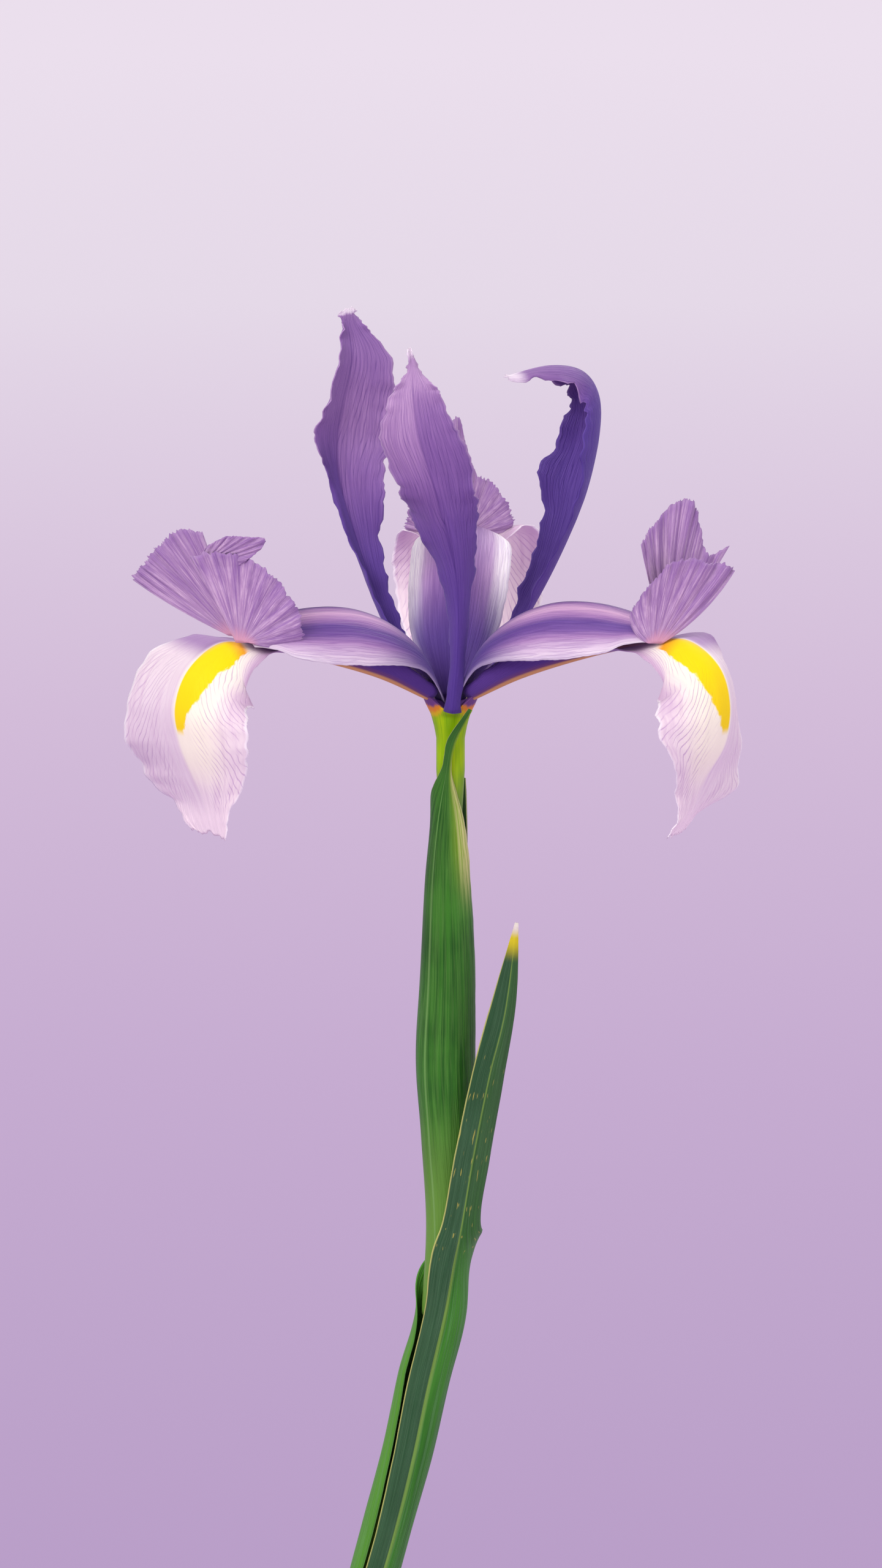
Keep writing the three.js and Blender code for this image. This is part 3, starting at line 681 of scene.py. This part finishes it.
def styleMaterial():
    material, shader, start = newMaterial("style arm", 0.5, 0.12, sheen=0.1)
    look = styleLook
    across, length, under, tone = (start.attribute(name) for name in sheetLayers)
    reach = abs(across)
    streak = start.grain(start.vector(across * 12, length * 4, 8.0), 1.0, 5.0, 0.65)
    fine = veins(start, across, length, 22, 3.0, 0.4, 0.1, 4.0)
    # lanes from ridge to margin; on the side arms the light lane below the ridge is a painted highlight
    lanes = reach + (streak - 0.5) * 0.1
    # tone picks the back arm's paler lanes, which are painted light
    arm = tone.step(0.2, 0.3).blend(lanes.ramp(*look["side"]), lanes.ramp(*look["back"]))
    arm = ((1 - length.step(0.14, 0.46)) * (1 - reach.step(0.8, 1.0) * 0.35) * 0.95).blend(arm, look["base"])
    arm = (fine * 0.5).blend(arm, look["line"], "MULTIPLY")
    crest = streak.step(0.35, 0.7).blend(look["crest"], look["crestLight"])
    rays = veins(start, across, length, 9, 0.8, 0.2, 0.08, 2.0) * 0.4
    rays = rays + veins(start, across, length, 30, 1.0, 0.2, 0.12, 6.0) * 0.5
    crest = rays.blend(crest, look["crestDark"])
    crest = (length.step(0.9, 1.0) * 0.45).blend(crest, look["crestDark"])
    crest = ((1 - (length + streak * 0.2).step(0.1, 0.32)) * 0.75).blend(crest, look["crestBase"])
    colour = tone.step(0.7, 0.8).blend(arm, crest)
    feed(shader, "Base Color", colour)
    feed(shader, "Normal", bumpOf(streak - rays * 0.5 - fine * 0.3, 0.4, 0.0004))
    return material


armStations = [
    (1.7, 0, 1.2, 0, 1.6, -10, 1.6, -10),
    (5.4, 0, 9.6, 0, 5, -34, 5, -34),
    (11.5, 0, 15.5, 0, 9.2, -46, 9.2, -46),
    (19, 0, 19.1, 0, 11.1, -50, 11.1, -50),
    (27, 0, 20.3, 0, 11, -49, 11, -49),
    (34.5, 0, 19.6, 0, 8.6, -42, 8.6, -42),
    (39.5, 0, 17.6, 0, 3.6, -28, 3.6, -28),
]
rightArmStations = [(out, side, up * 1.045, *rest) for out, side, up, *rest in armStations]
backArmStations = [
    (1.7, 0, 1.2, 0, 2, -10, 2, -10),
    (5.4, 0, 10.4, 0, 7, -16, 7.2, -16),
    (11.5, 0, 17, 0, 8.4, -20, 9.2, -20),
    (19, 0, 21.4, 0, 8.6, -22, 9.8, -22),
    (27, 0, 23.4, 0, 8.4, -20, 9.6, -20),
    (34.5, 0, 22.8, 0, 7, -18, 7.8, -18),
    (39.5, 0, 20.6, 0, 3.6, -16, 3.6, -16),
]
armEdge = {"waves": 10, "height": 0.25, "nick": 0.12, "seed": 31}
crestEdge = {"waves": 6, "height": 1, "power": 2, "nick": 0.75, "folds": 9, "foldDepth": 0.18, "seed": 35}
# A fan spreads from a short foot at its pivot. across is the direction of its plane, and a ray is
# (angle at the foot, angle at the rim, reach, lift), its angles measured from upright.
leftCrest = [
    {
        "pivot": (40.7, 2.5, 16.9),
        "across": 150,
        "foot": 1.2,
        "edge": crestEdge,
        "rays": [
            (-24, -27, 16.4, 0),
            (-12, -14, 15.9, 1),
            (-2, -1, 15.2, 1.6),
            (8, 12, 14, 1.4),
            (24, 27, 12.2, 1),
            (45, 46, 10.6, 0),
            (68, 66, 9.6, -1),
            (90, 86, 8.8, -2),
            (112, 102, 7.4, -2.5),
        ],
    },
    {
        "pivot": (40.7, -0.6, 17.3),
        "across": 128,
        "foot": 1,
        "edge": {**crestEdge, "seed": 38},
        "rays": [
            (-71, -67, 19, -1),
            (-62, -60, 19.1, 0),
            (-53, -53, 18.8, 0.8),
            (-44, -45, 19.2, 1.2),
            (-36, -37, 19.7, 1.2),
            (-28, -29, 19.9, 0.6),
            (-20, -21, 18.1, 0),
        ],
    },
    {
        "pivot": (46.2, -0.35, 30.3),
        "across": 144,
        "foot": 0.4,
        "edge": {**crestEdge, "seed": 61, "waves": 3, "height": 0.3, "nick": 0.3},
        "rays": [
            (10, 12, 2.6, 0),
            (30, 30, 4.6, 0.4),
            (42, 40, 6.4, 0.8),
            (50, 49, 7.6, 1),
            (58, 57, 9, 1),
            (66, 65, 11, 0.9),
            (73, 72, 9.8, 0.6),
            (80, 80, 7.4, 0.3),
            (98, 98, 4, 0),
        ],
    },
]
rightCrest = [
    {
        "pivot": (40.1, -2.5, 16.7),
        "across": 30,
        "foot": 1.2,
        "edge": {**crestEdge, "seed": 44},
        "rays": [
            (-74, -50, 3.4, -2),
            (-48, -32, 5.8, -1),
            (-26, -14, 8, 0),
            (-6, 0, 10.8, 0.8),
            (9, 10, 14.2, 1.2),
            (22, 21, 15.8, 1.4),
            (34, 31, 16, 1),
            (46, 39, 17.2, 0),
            (58, 44, 17, -1),
        ],
    },
    {
        "pivot": (40.9, 1, 17.6),
        "across": 44,
        "foot": 1,
        "edge": {**crestEdge, "seed": 47},
        "rays": [
            (-18, -16, 16.4, 2),
            (-12, -9, 18.4, 0.6),
            (-5, -2, 20.4, -0.4),
            (1, 4, 22.6, 0.4),
            (7, 9, 22.4, 1),
            (13, 13, 19.4, 0.4),
            (24, 23, 14, 0),
            (34, 33, 16.8, -0.6),
        ],
    },
]
backCrest = [
    {
        "pivot": (38.5, -1, 20.4),
        "across": -87,
        "foot": 1.2,
        "edge": {**crestEdge, "seed": 54},
        "rays": [
            (-8, -7, 18, 0),
            (-3, -2, 20.4, 1),
            (2, 1, 15.5, 0.6),
            (8, 8, 10.6, -0.4),
            (22, 22, 9.4, -1),
            (44, 44, 8.2, -1.4),
            (66, 64, 7.5, -2),
            (86, 82, 7, -2.4),
            (104, 98, 6, -2.4),
        ],
    },
    {
        "pivot": (38.5, 2.6, 20.4),
        "across": -87,
        "foot": 1.2,
        "edge": {**crestEdge, "seed": 57},
        "rays": [
            (-100, -94, 5.6, -2.4),
            (-80, -76, 6.4, -2),
            (-58, -56, 7.2, -1.4),
            (-36, -36, 8.6, -0.6),
            (-18, -18, 11, 0),
            (-6, -6, 14, 0.6),
            (4, 4, 15, 0),
        ],
    },
]
styles = {
    "style_arm_left": {
        "azimuth": 210,
        "arm": {"stations": armStations, "edge": armEdge},
        "crest": leftCrest,
    },
    "style_arm_right": {
        "azimuth": 330,
        "arm": {"stations": rightArmStations, "edge": {**armEdge, "seed": 41}},
        "crest": rightCrest,
    },
    "style_arm_back": {
        "azimuth": 87,
        "arm": {"stations": backArmStations, "edge": {**armEdge, "seed": 51}},
        "crest": backCrest,
    },
}
styleSkin = styleMaterial()
for node, arm in styles.items():
    tone = 0.5 if node == "style_arm_back" else 0
    sheets = [{"steps": (44, 70), "tones": ([tone, tone], [tone, tone]), **arm["arm"]}]
    crestSheet = {"steps": (110, 24), "tones": ([1, 1], [1, 1]), "thickness": 0.25}
    sheets += [{**crestSheet, **fan} for fan in arm["crest"]]
    buildSheets(node, sheets, arm["azimuth"], styleSkin)
print("style arms done")


# Stamens.

stamenSize = {"filament": 0.55, "anther": 1.05, "rounds": 16, "steps": 60}
stamenRoute = [(3.6, 3.6), (6.5, 6.2), (11, 9.6), (17, 12.8), (24, 15.6), (29, 16.8)]


def tubeSkin(bm, sections, rounds):
    # a grid rolled round a centre line, closed at both ends
    steps = len(sections) - 1
    layers = [bm.verts.layers.float[name] for name in sheetLayers]
    verts = gridOf(bm, rounds, steps)
    for vert in verts:
        v, u = vert.co.x, vert.co.y
        centre, tangent, radius = sections[round(u * steps)]
        side = (Vector((0, 1, 0)) - tangent * tangent.y).normalized()
        angle = math.pi * v
        out = side * math.cos(angle) + tangent.cross(side) * math.sin(angle)
        for layer, value in zip(layers, (v, u, 0.0, 0.0)):
            vert[layer] = value
        vert.co = centre + out * radius
    bmesh.ops.remove_doubles(bm, verts=verts, dist=1e-4)
    verts = [vert for vert in verts if vert.is_valid]
    ends = unique(edge for vert in verts for edge in vert.link_edges if edge.is_boundary)
    bmesh.ops.holes_fill(bm, edges=ends, sides=0)
    bmesh.ops.recalc_face_normals(bm, faces=unique(face for vert in verts for face in vert.link_faces))


def spinProfile(bm, rounds, weld):  # an outline in the xz plane, turned once round the z axis
    made = list(bm.verts) + list(bm.edges)
    turn = {"axis": (0, 0, 1), "cent": (0, 0, 0), "angle": 2 * math.pi}
    bmesh.ops.spin(bm, geom=made, steps=rounds, use_merge=True, **turn)
    bmesh.ops.remove_doubles(bm, verts=bm.verts, dist=weld)


def routeSections(points, steps, radiusAt):
    def place(u):
        return Vector([along([p[k] for p in points], u) for k in range(3)])

    sections = []
    for i in range(steps + 1):
        u = i / steps
        tangent = (place(min(u + 1e-3, 1)) - place(max(u - 1e-3, 0))).normalized()
        sections.append((place(u), tangent, radiusAt(u)))
    return sections


def stamenMaterial():
    material, shader, start = newMaterial("stamen", 0.7)
    length = start.attribute("length")
    dust = start.grain(start.node("ShaderNodeTexCoord", None, None, 3), 1400.0, 3.0)
    filament = tint(226, 208, 226)
    pollen = dust.step(0.35, 0.65).blend(tint(214, 190, 132), tint(244, 232, 190))
    feed(shader, "Base Color", length.step(0.5, 0.56).blend(filament, pollen))
    feed(shader, "Normal", bumpOf(dust * length.step(0.5, 0.55), 0.6, 0.0003))
    return material


def stamenRadius(u):
    swell = math.sin(math.pi * min((u - 0.5) / 0.5, 0.93)) if u > 0.5 else 0
    return stamenSize["filament"] + (stamenSize["anther"] - stamenSize["filament"]) * math.sqrt(max(swell, 0))


stamenSkin = stamenMaterial()
for side, azimuth in (("left", 210), ("right", 330), ("back", 90)):
    bm = newSkin()
    route = [(out, 0, up) for out, up in stamenRoute]
    tubeSkin(bm, routeSections(route, stamenSize["steps"], stamenRadius), stamenSize["rounds"])
    finishPiece("stamen_" + side + "_skin", bm, stamenSkin, "stamen_" + side, flowerMatrix(azimuth))
print("stamens done")


# Stem, ovary and tube.

stemSize = {"lean": 17.0, "footOffset": -18.0, "cut": 2.6, "top": 2.2, "rounds": 32, "steps": 160}
ovarySize = {"length": 62.0, "radius": 2.6, "throat": 1.8, "tube": 2.4, "mouth": 4.6, "rise": 1.6}
gap = 0.3
leafThickness = 0.5
flower = flowerBase / mm
rimHeight = vaseHigh.z / mm
rise = flower.z - rimHeight
rimCrossing = flower.x - stemSize["lean"]
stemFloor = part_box("stem")[0][2] / mm + stemSize["cut"] / 2 - 0.6
leanShares = [(1, 1), (0.68, 0.87), (0.46, 0.787), (0.275, 0.7), (0.075, 0.61), (0, 0.5)]
stemRoute = [(stemSize["footOffset"], 1.5, stemFloor)]
stemRoute.append(((stemSize["footOffset"] + rimCrossing) / 2 + 1, 1, rimHeight / 2))
stemRoute += [(flower.x - stemSize["lean"] * a, 0, flower.z - rise * b) for a, b in leanShares]
stemRoute.append((flower.x, 0, flower.z - ovarySize["length"] - gap))


def stemAt(height):  # the stem's centre at a height, found by halving
    low, high = 0.0, 1.0
    for _ in range(40):
        middle = (low + high) / 2
        if along([p[2] for p in stemRoute], middle) < height:
            low = middle
        else:
            high = middle
    return Vector([along([p[k] for p in stemRoute], low) for k in range(3)])


def greenMaterial(name, colours, veinCount, roughness=0.45):
    material, shader, start = newMaterial(name, roughness)
    across, length = start.attribute("across"), start.attribute("length")
    streak = start.grain(start.vector(across * veinCount, length * 5, 3.0), 1.0, 4.0, 0.6)
    blotch = start.grain(start.node("ShaderNodeTexCoord", None, None, 3), 90.0, 3.0)
    colour = (streak * 0.6 + blotch * 0.4).step(0.35, 0.65).blend(colours[0], colours[1])
    return material, shader, start, across, length, streak, colour


def stemMaterial():
    colours = (tint(84, 132, 40), tint(126, 168, 62))
    material, shader, start, across, length, streak, colour = greenMaterial("stem", colours, 14)
    cut = 1 - length.step(0.0, 0.006)
    colour = cut.blend(colour, tint(206, 214, 150))
    feed(shader, "Base Color", colour)
    feed(shader, "Normal", bumpOf(streak, 0.4, 0.0003))
    return material


bm = newSkin()
stemSections = routeSections(
    stemRoute, stemSize["steps"], lambda u: stemSize["cut"] + (stemSize["top"] - stemSize["cut"]) * u)
tubeSkin(bm, stemSections, stemSize["rounds"])
finishPiece("stem_skin", bm, stemMaterial(), "stem", Matrix.Scale(mm, 4))


def tubeMaterial():
    colours = (tint(124, 180, 2), tint(178, 214, 4))
    material, shader, start, across, length, streak, colour = greenMaterial("perianth tube", colours, 3, 0.4)
    under = start.attribute("under")
    height = length * 70 - 62  # millimetres above the flower's base
    colour = (1 - height.step(-20, -8)).blend(colour, tint(98, 135, 65))
    # gold and violet run down below the falls
    ragged = (streak - 0.5) * 2
    rise = height + across * 0.9 - 0.5 + ragged
    colour = rise.step(-1.4, -0.5).blend(colour, tint(222, 190, 16))
    colour = rise.step(-0.5, 0.2).blend(colour, tint(226, 142, 34))
    colour = rise.step(0.5, 1.3).blend(colour, tint(112, 66, 130))
    colour = under.blend(colour, tint(104, 66, 138))
    feed(shader, "Base Color", colour)
    feed(shader, "Normal", bumpOf(streak, 0.3, 0.0003))
    return material


def buildOvary():
    size = ovarySize
    profile = [
        (0, -size["length"]),
        (stemSize["top"], -size["length"]),
        (size["radius"], -0.9 * size["length"]),
        (size["radius"], -0.72 * size["length"]),
        (size["throat"], -0.5 * size["length"]),
        (size["throat"], -0.35 * size["length"]),
        (size["tube"], -0.18 * size["length"]),
        (size["tube"], -0.09 * size["length"]),
        ((5 * size["tube"] + size["mouth"]) / 6, -3.4),
        ((3 * size["tube"] + 2 * size["mouth"]) / 5, -1.2),
        ((size["tube"] + 3 * size["mouth"]) / 4, 0.3),
        (size["mouth"], size["rise"]),
        (size["mouth"] - 0.8, size["rise"] - 0.1),
        (size["mouth"] / 2, -0.6),
        (0, -1),
    ]
    bm = newSkin()
    acrossLayer, lengthLayer, underLayer = (bm.verts.layers.float[name] for name in sheetLayers[:3])
    ring = [bm.verts.new((r, 0, z)) for r, z in profile]
    for vert in ring[-3:]:
        vert[underLayer] = 1.0
    edges = [bm.edges.new(pair) for pair in zip(ring, ring[1:])]
    bmesh.ops.subdivide_edges(bm, edges=edges[1:-1], cuts=4, smooth=0.6)
    spinProfile(bm, 48, 1e-4)
    for vert in bm.verts:
        # the rim rises and spreads towards the three falls
        lobe = math.cos(3 * (math.atan2(vert.co.y, vert.co.x) - math.pi / 2))
        swell = smooth(-6, size["rise"], vert.co.z)
        vert.co.x *= 1 + 0.09 * lobe * swell
        vert.co.y *= 1 + 0.09 * lobe * swell
        vert.co.z += (1.3 * lobe - 0.2) * smooth(-1.5, size["rise"], vert.co.z)
        vert[lengthLayer] = (vert.co.z + size["length"]) / 70
        vert[acrossLayer] = lobe
    bmesh.ops.recalc_face_normals(bm, faces=bm.faces)
    finishPiece("ovary_tube_skin", bm, tubeMaterial(), "ovary_tube", flowerMatrix(0))


buildOvary()
print("stem and tube done")


# Bracts and the lower leaf.

sheath = {"radius": 4.1, "bottom": 200}
layer = leafThickness + gap
innerRadius = stemSize["top"] + gap + leafThickness / 2


def wrapped(drop, radius, swing, reachRight, reachLeft, shift=0.0):
    # a station on a circle round the stem: its midrib is swung left of the front, and each half reaches so
    # many degrees round
    centre = stemAt(flower.z - drop) - Vector(flower)
    angle = math.radians(swing)
    out = -centre.y + radius * math.cos(angle)
    sideways = centre.x + shift - radius * math.sin(angle)
    right, left = ((radius * math.radians(reach), reach / 2) for reach in (reachRight, reachLeft))
    return (out, sideways, -drop, -swing, *right, *left)


spatheInner = {
    "creases": [0, 0],
    "thickness": 0.3,
    "stations": [
        wrapped(90, innerRadius + 0.1, 190, 150, 150, -0.05),
        wrapped(76, innerRadius + 0.8, 195, 140, 140, -0.5),
        wrapped(62, innerRadius + 1.3, 200, 140, 140, -0.7),
        wrapped(47, innerRadius + 0.95, 205, 130, 130, -0.4),
        wrapped(31, innerRadius + 0.05, 212, 100, 100, -0.2),
        wrapped(22, innerRadius + 0.05, 228, 34, 34, 0),
        wrapped(13, innerRadius + 0.1, 236, 6, 6, 0),
    ],
}
spatheOuter = {
    "creases": [0, 0],
    "thickness": 0.4,
    "edge": {"waves": 6, "height": 0.15, "nick": 0.1, "seed": 71},
    "stations": [
        wrapped(108, innerRadius + 0.2, 30, 165, 165),
        wrapped(92, innerRadius + layer + 0.15, 38, 160, 160, -0.05),
        wrapped(76, innerRadius + layer + 0.85, 44, 150, 150, -0.5),
        wrapped(62, innerRadius + layer + 1.35, 44, 140, 140, -0.8),
        wrapped(47, innerRadius + layer + 1, 44, 130, 130, -0.4),
        wrapped(31, innerRadius + layer + 0.3, 44, 118, 108, -0.3),
        wrapped(20, innerRadius + 0.4, 38, 92, 84, -0.1),
        (3.3, -0.8, -11, 0, 1.1, 16, 1.1, 16),
        (3.9, 0.3, -5, 0, 0.7, 8, 0.8, 8),
        (5.4, 3.3, 0.8, 0, 0.3, 0, 0.3, 0),
    ],
}
lowerLeaf = {
    "creases": [0, 0, 0, 0, 0, 0, 0, 0.3, 0.6, 0.8, 0.8, 0.8, 0.8],
    "thickness": 0.4,
    "edge": {"waves": 5, "height": 0.1, "nick": 0.05, "seed": 75},
    "stations": [
        *(wrapped(drop, sheath["radius"], -10, 312, 40) for drop in (sheath["bottom"], 186, 166)),
        wrapped(148, sheath["radius"], -15, 310, 42),
        wrapped(134, sheath["radius"] + 0.1, -10, 306, 46),
        wrapped(120, sheath["radius"] + 0.2, -8, 300, 48),
        wrapped(107, sheath["radius"] + 0.2, -6, 270, 48),
        wrapped(97, sheath["radius"] + 1, -12, 140, 46),
        (6.3, 1.9, -90, -10, 4.2, 48, 3.5, 12),
        (7, 3.9, -77, -10, 3.9, 50, 3.2, 5),
        (7.6, 6.6, -62.5, -10, 3.5, 52, 3, 5),
        (8.1, 9.2, -51, -10, 2.3, 52, 2.7, 5),
        (8.5, 11.1, -35.4, -10, 0.3, 30, 0.3, 5),
    ],
}


def spatheMaterial():
    colours = (tint(30, 80, 24), tint(60, 122, 38))
    material, shader, start, across, length, streak, colour = greenMaterial("spathe", colours, 16, 0.38)
    fine = veins(start, across, length, 26, 5.0, 0.2, 0.1, 6.0)
    colour = (fine * 0.2).blend(colour, tint(112, 160, 78))
    colour = (1 - length.step(0.1, 0.3)).blend(colour, tint(104, 150, 58))
    fold = 1 - abs(across).step(0.006, 0.03)
    colour = (fold * 0.5 * (1 - length.step(0.8, 0.9))).blend(colour, tint(128, 172, 98))
    papery = streak.step(0.35, 0.6) * across.step(0.5, 0.8) * length.band(0.56, 0.8, 0.05)
    colour = (across.step(0.3, 0.8) * length.step(0.52, 0.64) * 0.8).blend(colour, tint(142, 180, 40))
    colour = (papery * 0.8).blend(colour, tint(222, 214, 150))
    rim = abs(across).step(0.93, 1.0) * length.step(0.5, 0.7)
    colour = (rim * 0.7).blend(colour, tint(214, 206, 156))
    feed(shader, "Base Color", colour)
    feed(shader, "Normal", bumpOf(streak + fine * -0.6, 0.4, 0.0003))
    return material


def leafMaterial():
    colours = (tint(38, 76, 44), tint(54, 92, 60))
    material, shader, start, across, length, streak, colour = greenMaterial("lower leaf", colours, 12, 0.42)
    sheathColour = streak.step(0.3, 0.7).blend(tint(46, 108, 30), tint(66, 134, 42))
    upper = streak.step(0.3, 0.7).blend(tint(42, 86, 36), tint(62, 110, 54))
    sheathColour = length.step(0.58, 0.72).blend(sheathColour, upper)
    wrap = across.step(0.5, 0.8) * (1 - length.step(0.5, 0.6))
    sheathColour = (wrap * 0.7).blend(sheathColour, tint(92, 156, 50))
    # the blade's left half keeps a darker, bluer green as painted shade; the right half and the sheath take
    # the brighter green
    colour = across.step(-0.02, 0.02).blend(colour, sheathColour)
    lines = veins(start, across, length, 34, 4.0, 0.1, 0.1, 2.0)
    colour = (lines * 0.2).blend(colour, tint(112, 152, 112))
    flecks = start.grain(start.vector(across * 9, length * 50, 7.0), 1.0, 1.0).step(0.68, 0.72)
    colour = (flecks * length.band(0.6, 0.85, 0.04) * 0.7).blend(colour, tint(186, 176, 84))
    fold = 1 - abs(across).step(0.008, 0.035)
    colour = (fold * 0.5).blend(colour, tint(140, 172, 72))
    margin = (0 - across).step(0.9, 0.97)
    colour = (margin * 0.85).blend(colour, tint(206, 206, 118))
    colour = length.step(0.963, 0.985).blend(colour, tint(230, 212, 40))
    colour = length.step(0.985, 0.996).blend(colour, tint(244, 234, 222))
    feed(shader, "Base Color", colour)
    feed(shader, "Normal", bumpOf(streak + lines * -0.7, 0.5, 0.0003))
    return material


spatheSkin = spatheMaterial()
buildSheets("spathe_outer", [{"steps": (72, 160), **spatheOuter}], 270, spatheSkin)
buildSheets("spathe_inner", [{"steps": (56, 120), **spatheInner}], 270, spatheSkin)
buildSheets("leaf_lower", [{"steps": (72, 220), **lowerLeaf}], 270, leafMaterial())
print("bracts and leaf done")


# Vase.

vaseSize = {
    "foot": 34.0,
    "belly": 41.0,
    "bellyHeight": 56.0,
    "neck": 25.5,
    "neckHeight": 140.0,
    "lip": 28.0,
    "wall": 4.0,
    "floor": 6.0,
    "footBevel": 1.6,
    "sideSteps": 48,
    "rimSteps": 12,
    "rounds": 128,
}


def vaseMaterial():
    material, shader, start = newMaterial("vase glaze", 0.28, specular=0.5)
    shader.inputs["Coat Roughness"].default_value = 0.12
    where = start.node("ShaderNodeTexCoord", None, None, 3)
    cloud = start.grain(where, 22.0, 3.0)
    speck = start.grain(where, 900.0, 1.0).step(0.70, 0.74)
    height = start.node("ShaderNodeSeparateXYZ", None, {"Vector": where}, 2)
    colour = cloud.step(0.3, 0.7).blend(tint(238, 234, 230), tint(230, 225, 221))
    colour = (speck * 0.5).blend(colour, tint(150, 130, 116))
    bare = 1 - height.step(0.0015, 0.0022)
    colour = bare.blend(colour, tint(206, 190, 172))
    feed(shader, "Base Color", colour)
    feed(shader, "Coat Weight", (1 - bare) * 0.6)
    feed(shader, "Roughness", bare * 0.5 + cloud * 0.08 + 0.22)
    feed(shader, "Normal", bumpOf(cloud + speck * 0.2, 0.15, 0.0006))
    return material


def buildVase():
    size = vaseSize
    high = rimHeight
    foot, belly, neck, lip = (size[name] for name in ("foot", "belly", "neck", "lip"))
    bellyHeight, neckHeight = size["bellyHeight"], size["neckHeight"]
    wall, floor = size["wall"], size["floor"]
    side = [
        (foot, size["footBevel"]),
        (belly, bellyHeight),
        ((belly + neck) / 2 + 0.5, (bellyHeight + neckHeight) / 2 + 4),
        (neck, neckHeight),
        (lip, high - wall / 2),
    ]
    shares = [i / size["sideSteps"] for i in range(size["sideSteps"] + 1)]
    outside = [(along([p[0] for p in side], share), along([p[1] for p in side], share)) for share in shares]
    inside = [(r - wall, z) for r, z in outside if z > floor + wall / 2][::-1]
    turns = [math.pi * i / size["rimSteps"] for i in range(1, size["rimSteps"])]
    rim = [(lip - wall / 2 + wall / 2 * math.cos(a), high - wall / 2 + wall / 2 * math.sin(a)) for a in turns]
    groove = [(foot - 5, 0), (foot - 4.4, 0.5), (foot - 3.4, 0.5), (foot - 2.6, 0)]
    profile = [(0, 0), *groove, (foot - size["footBevel"], 0), *outside]
    profile += [*rim, *inside, (foot - wall - 1.5, floor), (0, floor)]
    bm = newSkin()
    ring = [bm.verts.new((r, 0, z)) for r, z in profile]
    for pair in zip(ring, ring[1:]):
        bm.edges.new(pair)
    spinProfile(bm, size["rounds"], 1e-3)
    bmesh.ops.recalc_face_normals(bm, faces=bm.faces)
    finishPiece("vase_skin", bm, vaseMaterial(), "vase", Matrix.Scale(mm, 4))


buildVase()
print("vase done")


# Floor, light and camera.

stage = {
    "elevation": 16.0,
    "distance": 1.2,
    "frameHeight": 262.4,  # millimetres of the flower that the picture's height shows
    "aimSide": -1.6,
    "aimUp": -13.1,
}


# Area lights, each aimed at the flower from a place beside it.
lights = {
    "key": {"from": (-0.9, -1.1, 1.1), "size": 0.9, "power": 24, "colour": (1.0, 0.985, 0.96)},
    "fill": {"from": (1.3, -0.9, 0.3), "size": 1.2, "power": 10, "colour": (1.0, 0.98, 0.98)},
    "back": {"from": (0.4, 1.3, 1.0), "size": 0.9, "power": 14, "colour": (1.0, 0.97, 1.0)},
}


def floorMaterial():
    # the sweep pales with distance, and glows a little so that it stays even
    material, shader, start = newMaterial("floor", 0.9)
    where = start.node("ShaderNodeTexCoord", None, None, 3)
    depth = start.node("ShaderNodeSeparateXYZ", None, {"Vector": where}, 1)
    colour = (depth / 3).ramp(
        (0.14, tint(185, 158, 200)), (0.2, tint(191, 165, 204)), (0.27, tint(198, 172, 209)),
        (0.4, tint(211, 188, 217)), (0.62, tint(229, 217, 232)), (0.82, tint(235, 223, 237)))
    feed(shader, "Base Color", depth.step(0.2, 0.42).blend(colour, (0.0, 0.0, 0.0, 1.0)))
    feed(shader, "Emission Color", depth.step(0.2, 0.42).blend((0.0, 0.0, 0.0, 1.0), colour))
    shader.inputs["Emission Strength"].default_value = 1.0
    shader.inputs["Specular IOR Level"].default_value = 0.0
    return material


def buildFloor():
    bm = bmesh.new()
    bmesh.ops.create_grid(bm, x_segments=1, y_segments=1, size=6.0)
    mesh = bpy.data.meshes.new("floor")
    bm.to_mesh(mesh)
    bm.free()
    mesh.materials.append(floorMaterial())
    floor = bpy.data.objects.new("floor", mesh)
    floor.location = (0, 0, vaseLow.z)
    bpy.context.scene.collection.objects.link(floor)


def addLight(name, place, target, size, power, colour):
    light = bpy.data.lights.new(name, "AREA")
    light.shape, light.size, light.energy, light.color = "SQUARE", size, power, colour
    lamp = bpy.data.objects.new(name, light)
    lamp.location = place
    lamp.rotation_euler = (Vector(target) - Vector(place)).to_track_quat("-Z", "Y").to_euler()
    bpy.context.scene.collection.objects.link(lamp)


def buildCamera():
    tilt = math.radians(stage["elevation"])
    forward = Vector((0, math.cos(tilt), -math.sin(tilt)))
    up = Vector((0, math.sin(tilt), math.cos(tilt)))
    target = flowerBase + Vector((1, 0, 0)) * stage["aimSide"] * mm + up * stage["aimUp"] * mm
    data = bpy.data.cameras.new("camera")
    data.sensor_width = 36
    data.lens = 36 * stage["distance"] / (stage["frameHeight"] * mm)
    data.clip_start, data.clip_end = 0.05, 50
    camera = bpy.data.objects.new("camera", data)
    camera.location = target - forward * stage["distance"]
    camera.rotation_euler = forward.to_track_quat("-Z", "Y").to_euler()
    bpy.context.scene.collection.objects.link(camera)
    bpy.context.scene.camera = camera


buildFloor()
middle = flowerBase + Vector((0, 0, 0.02))
for name, light in lights.items():
    addLight(name, middle + Vector(light["from"]), middle, light["size"], light["power"], light["colour"])
world = bpy.data.worlds.new("world")
world.use_nodes = True
world.node_tree.nodes["Background"].inputs["Color"].default_value = tint(240, 238, 240)
world.node_tree.nodes["Background"].inputs["Strength"].default_value = 0.62
bpy.context.scene.world = world
bpy.context.scene.view_settings.view_transform = "Standard"
buildCamera()
print("stage done")
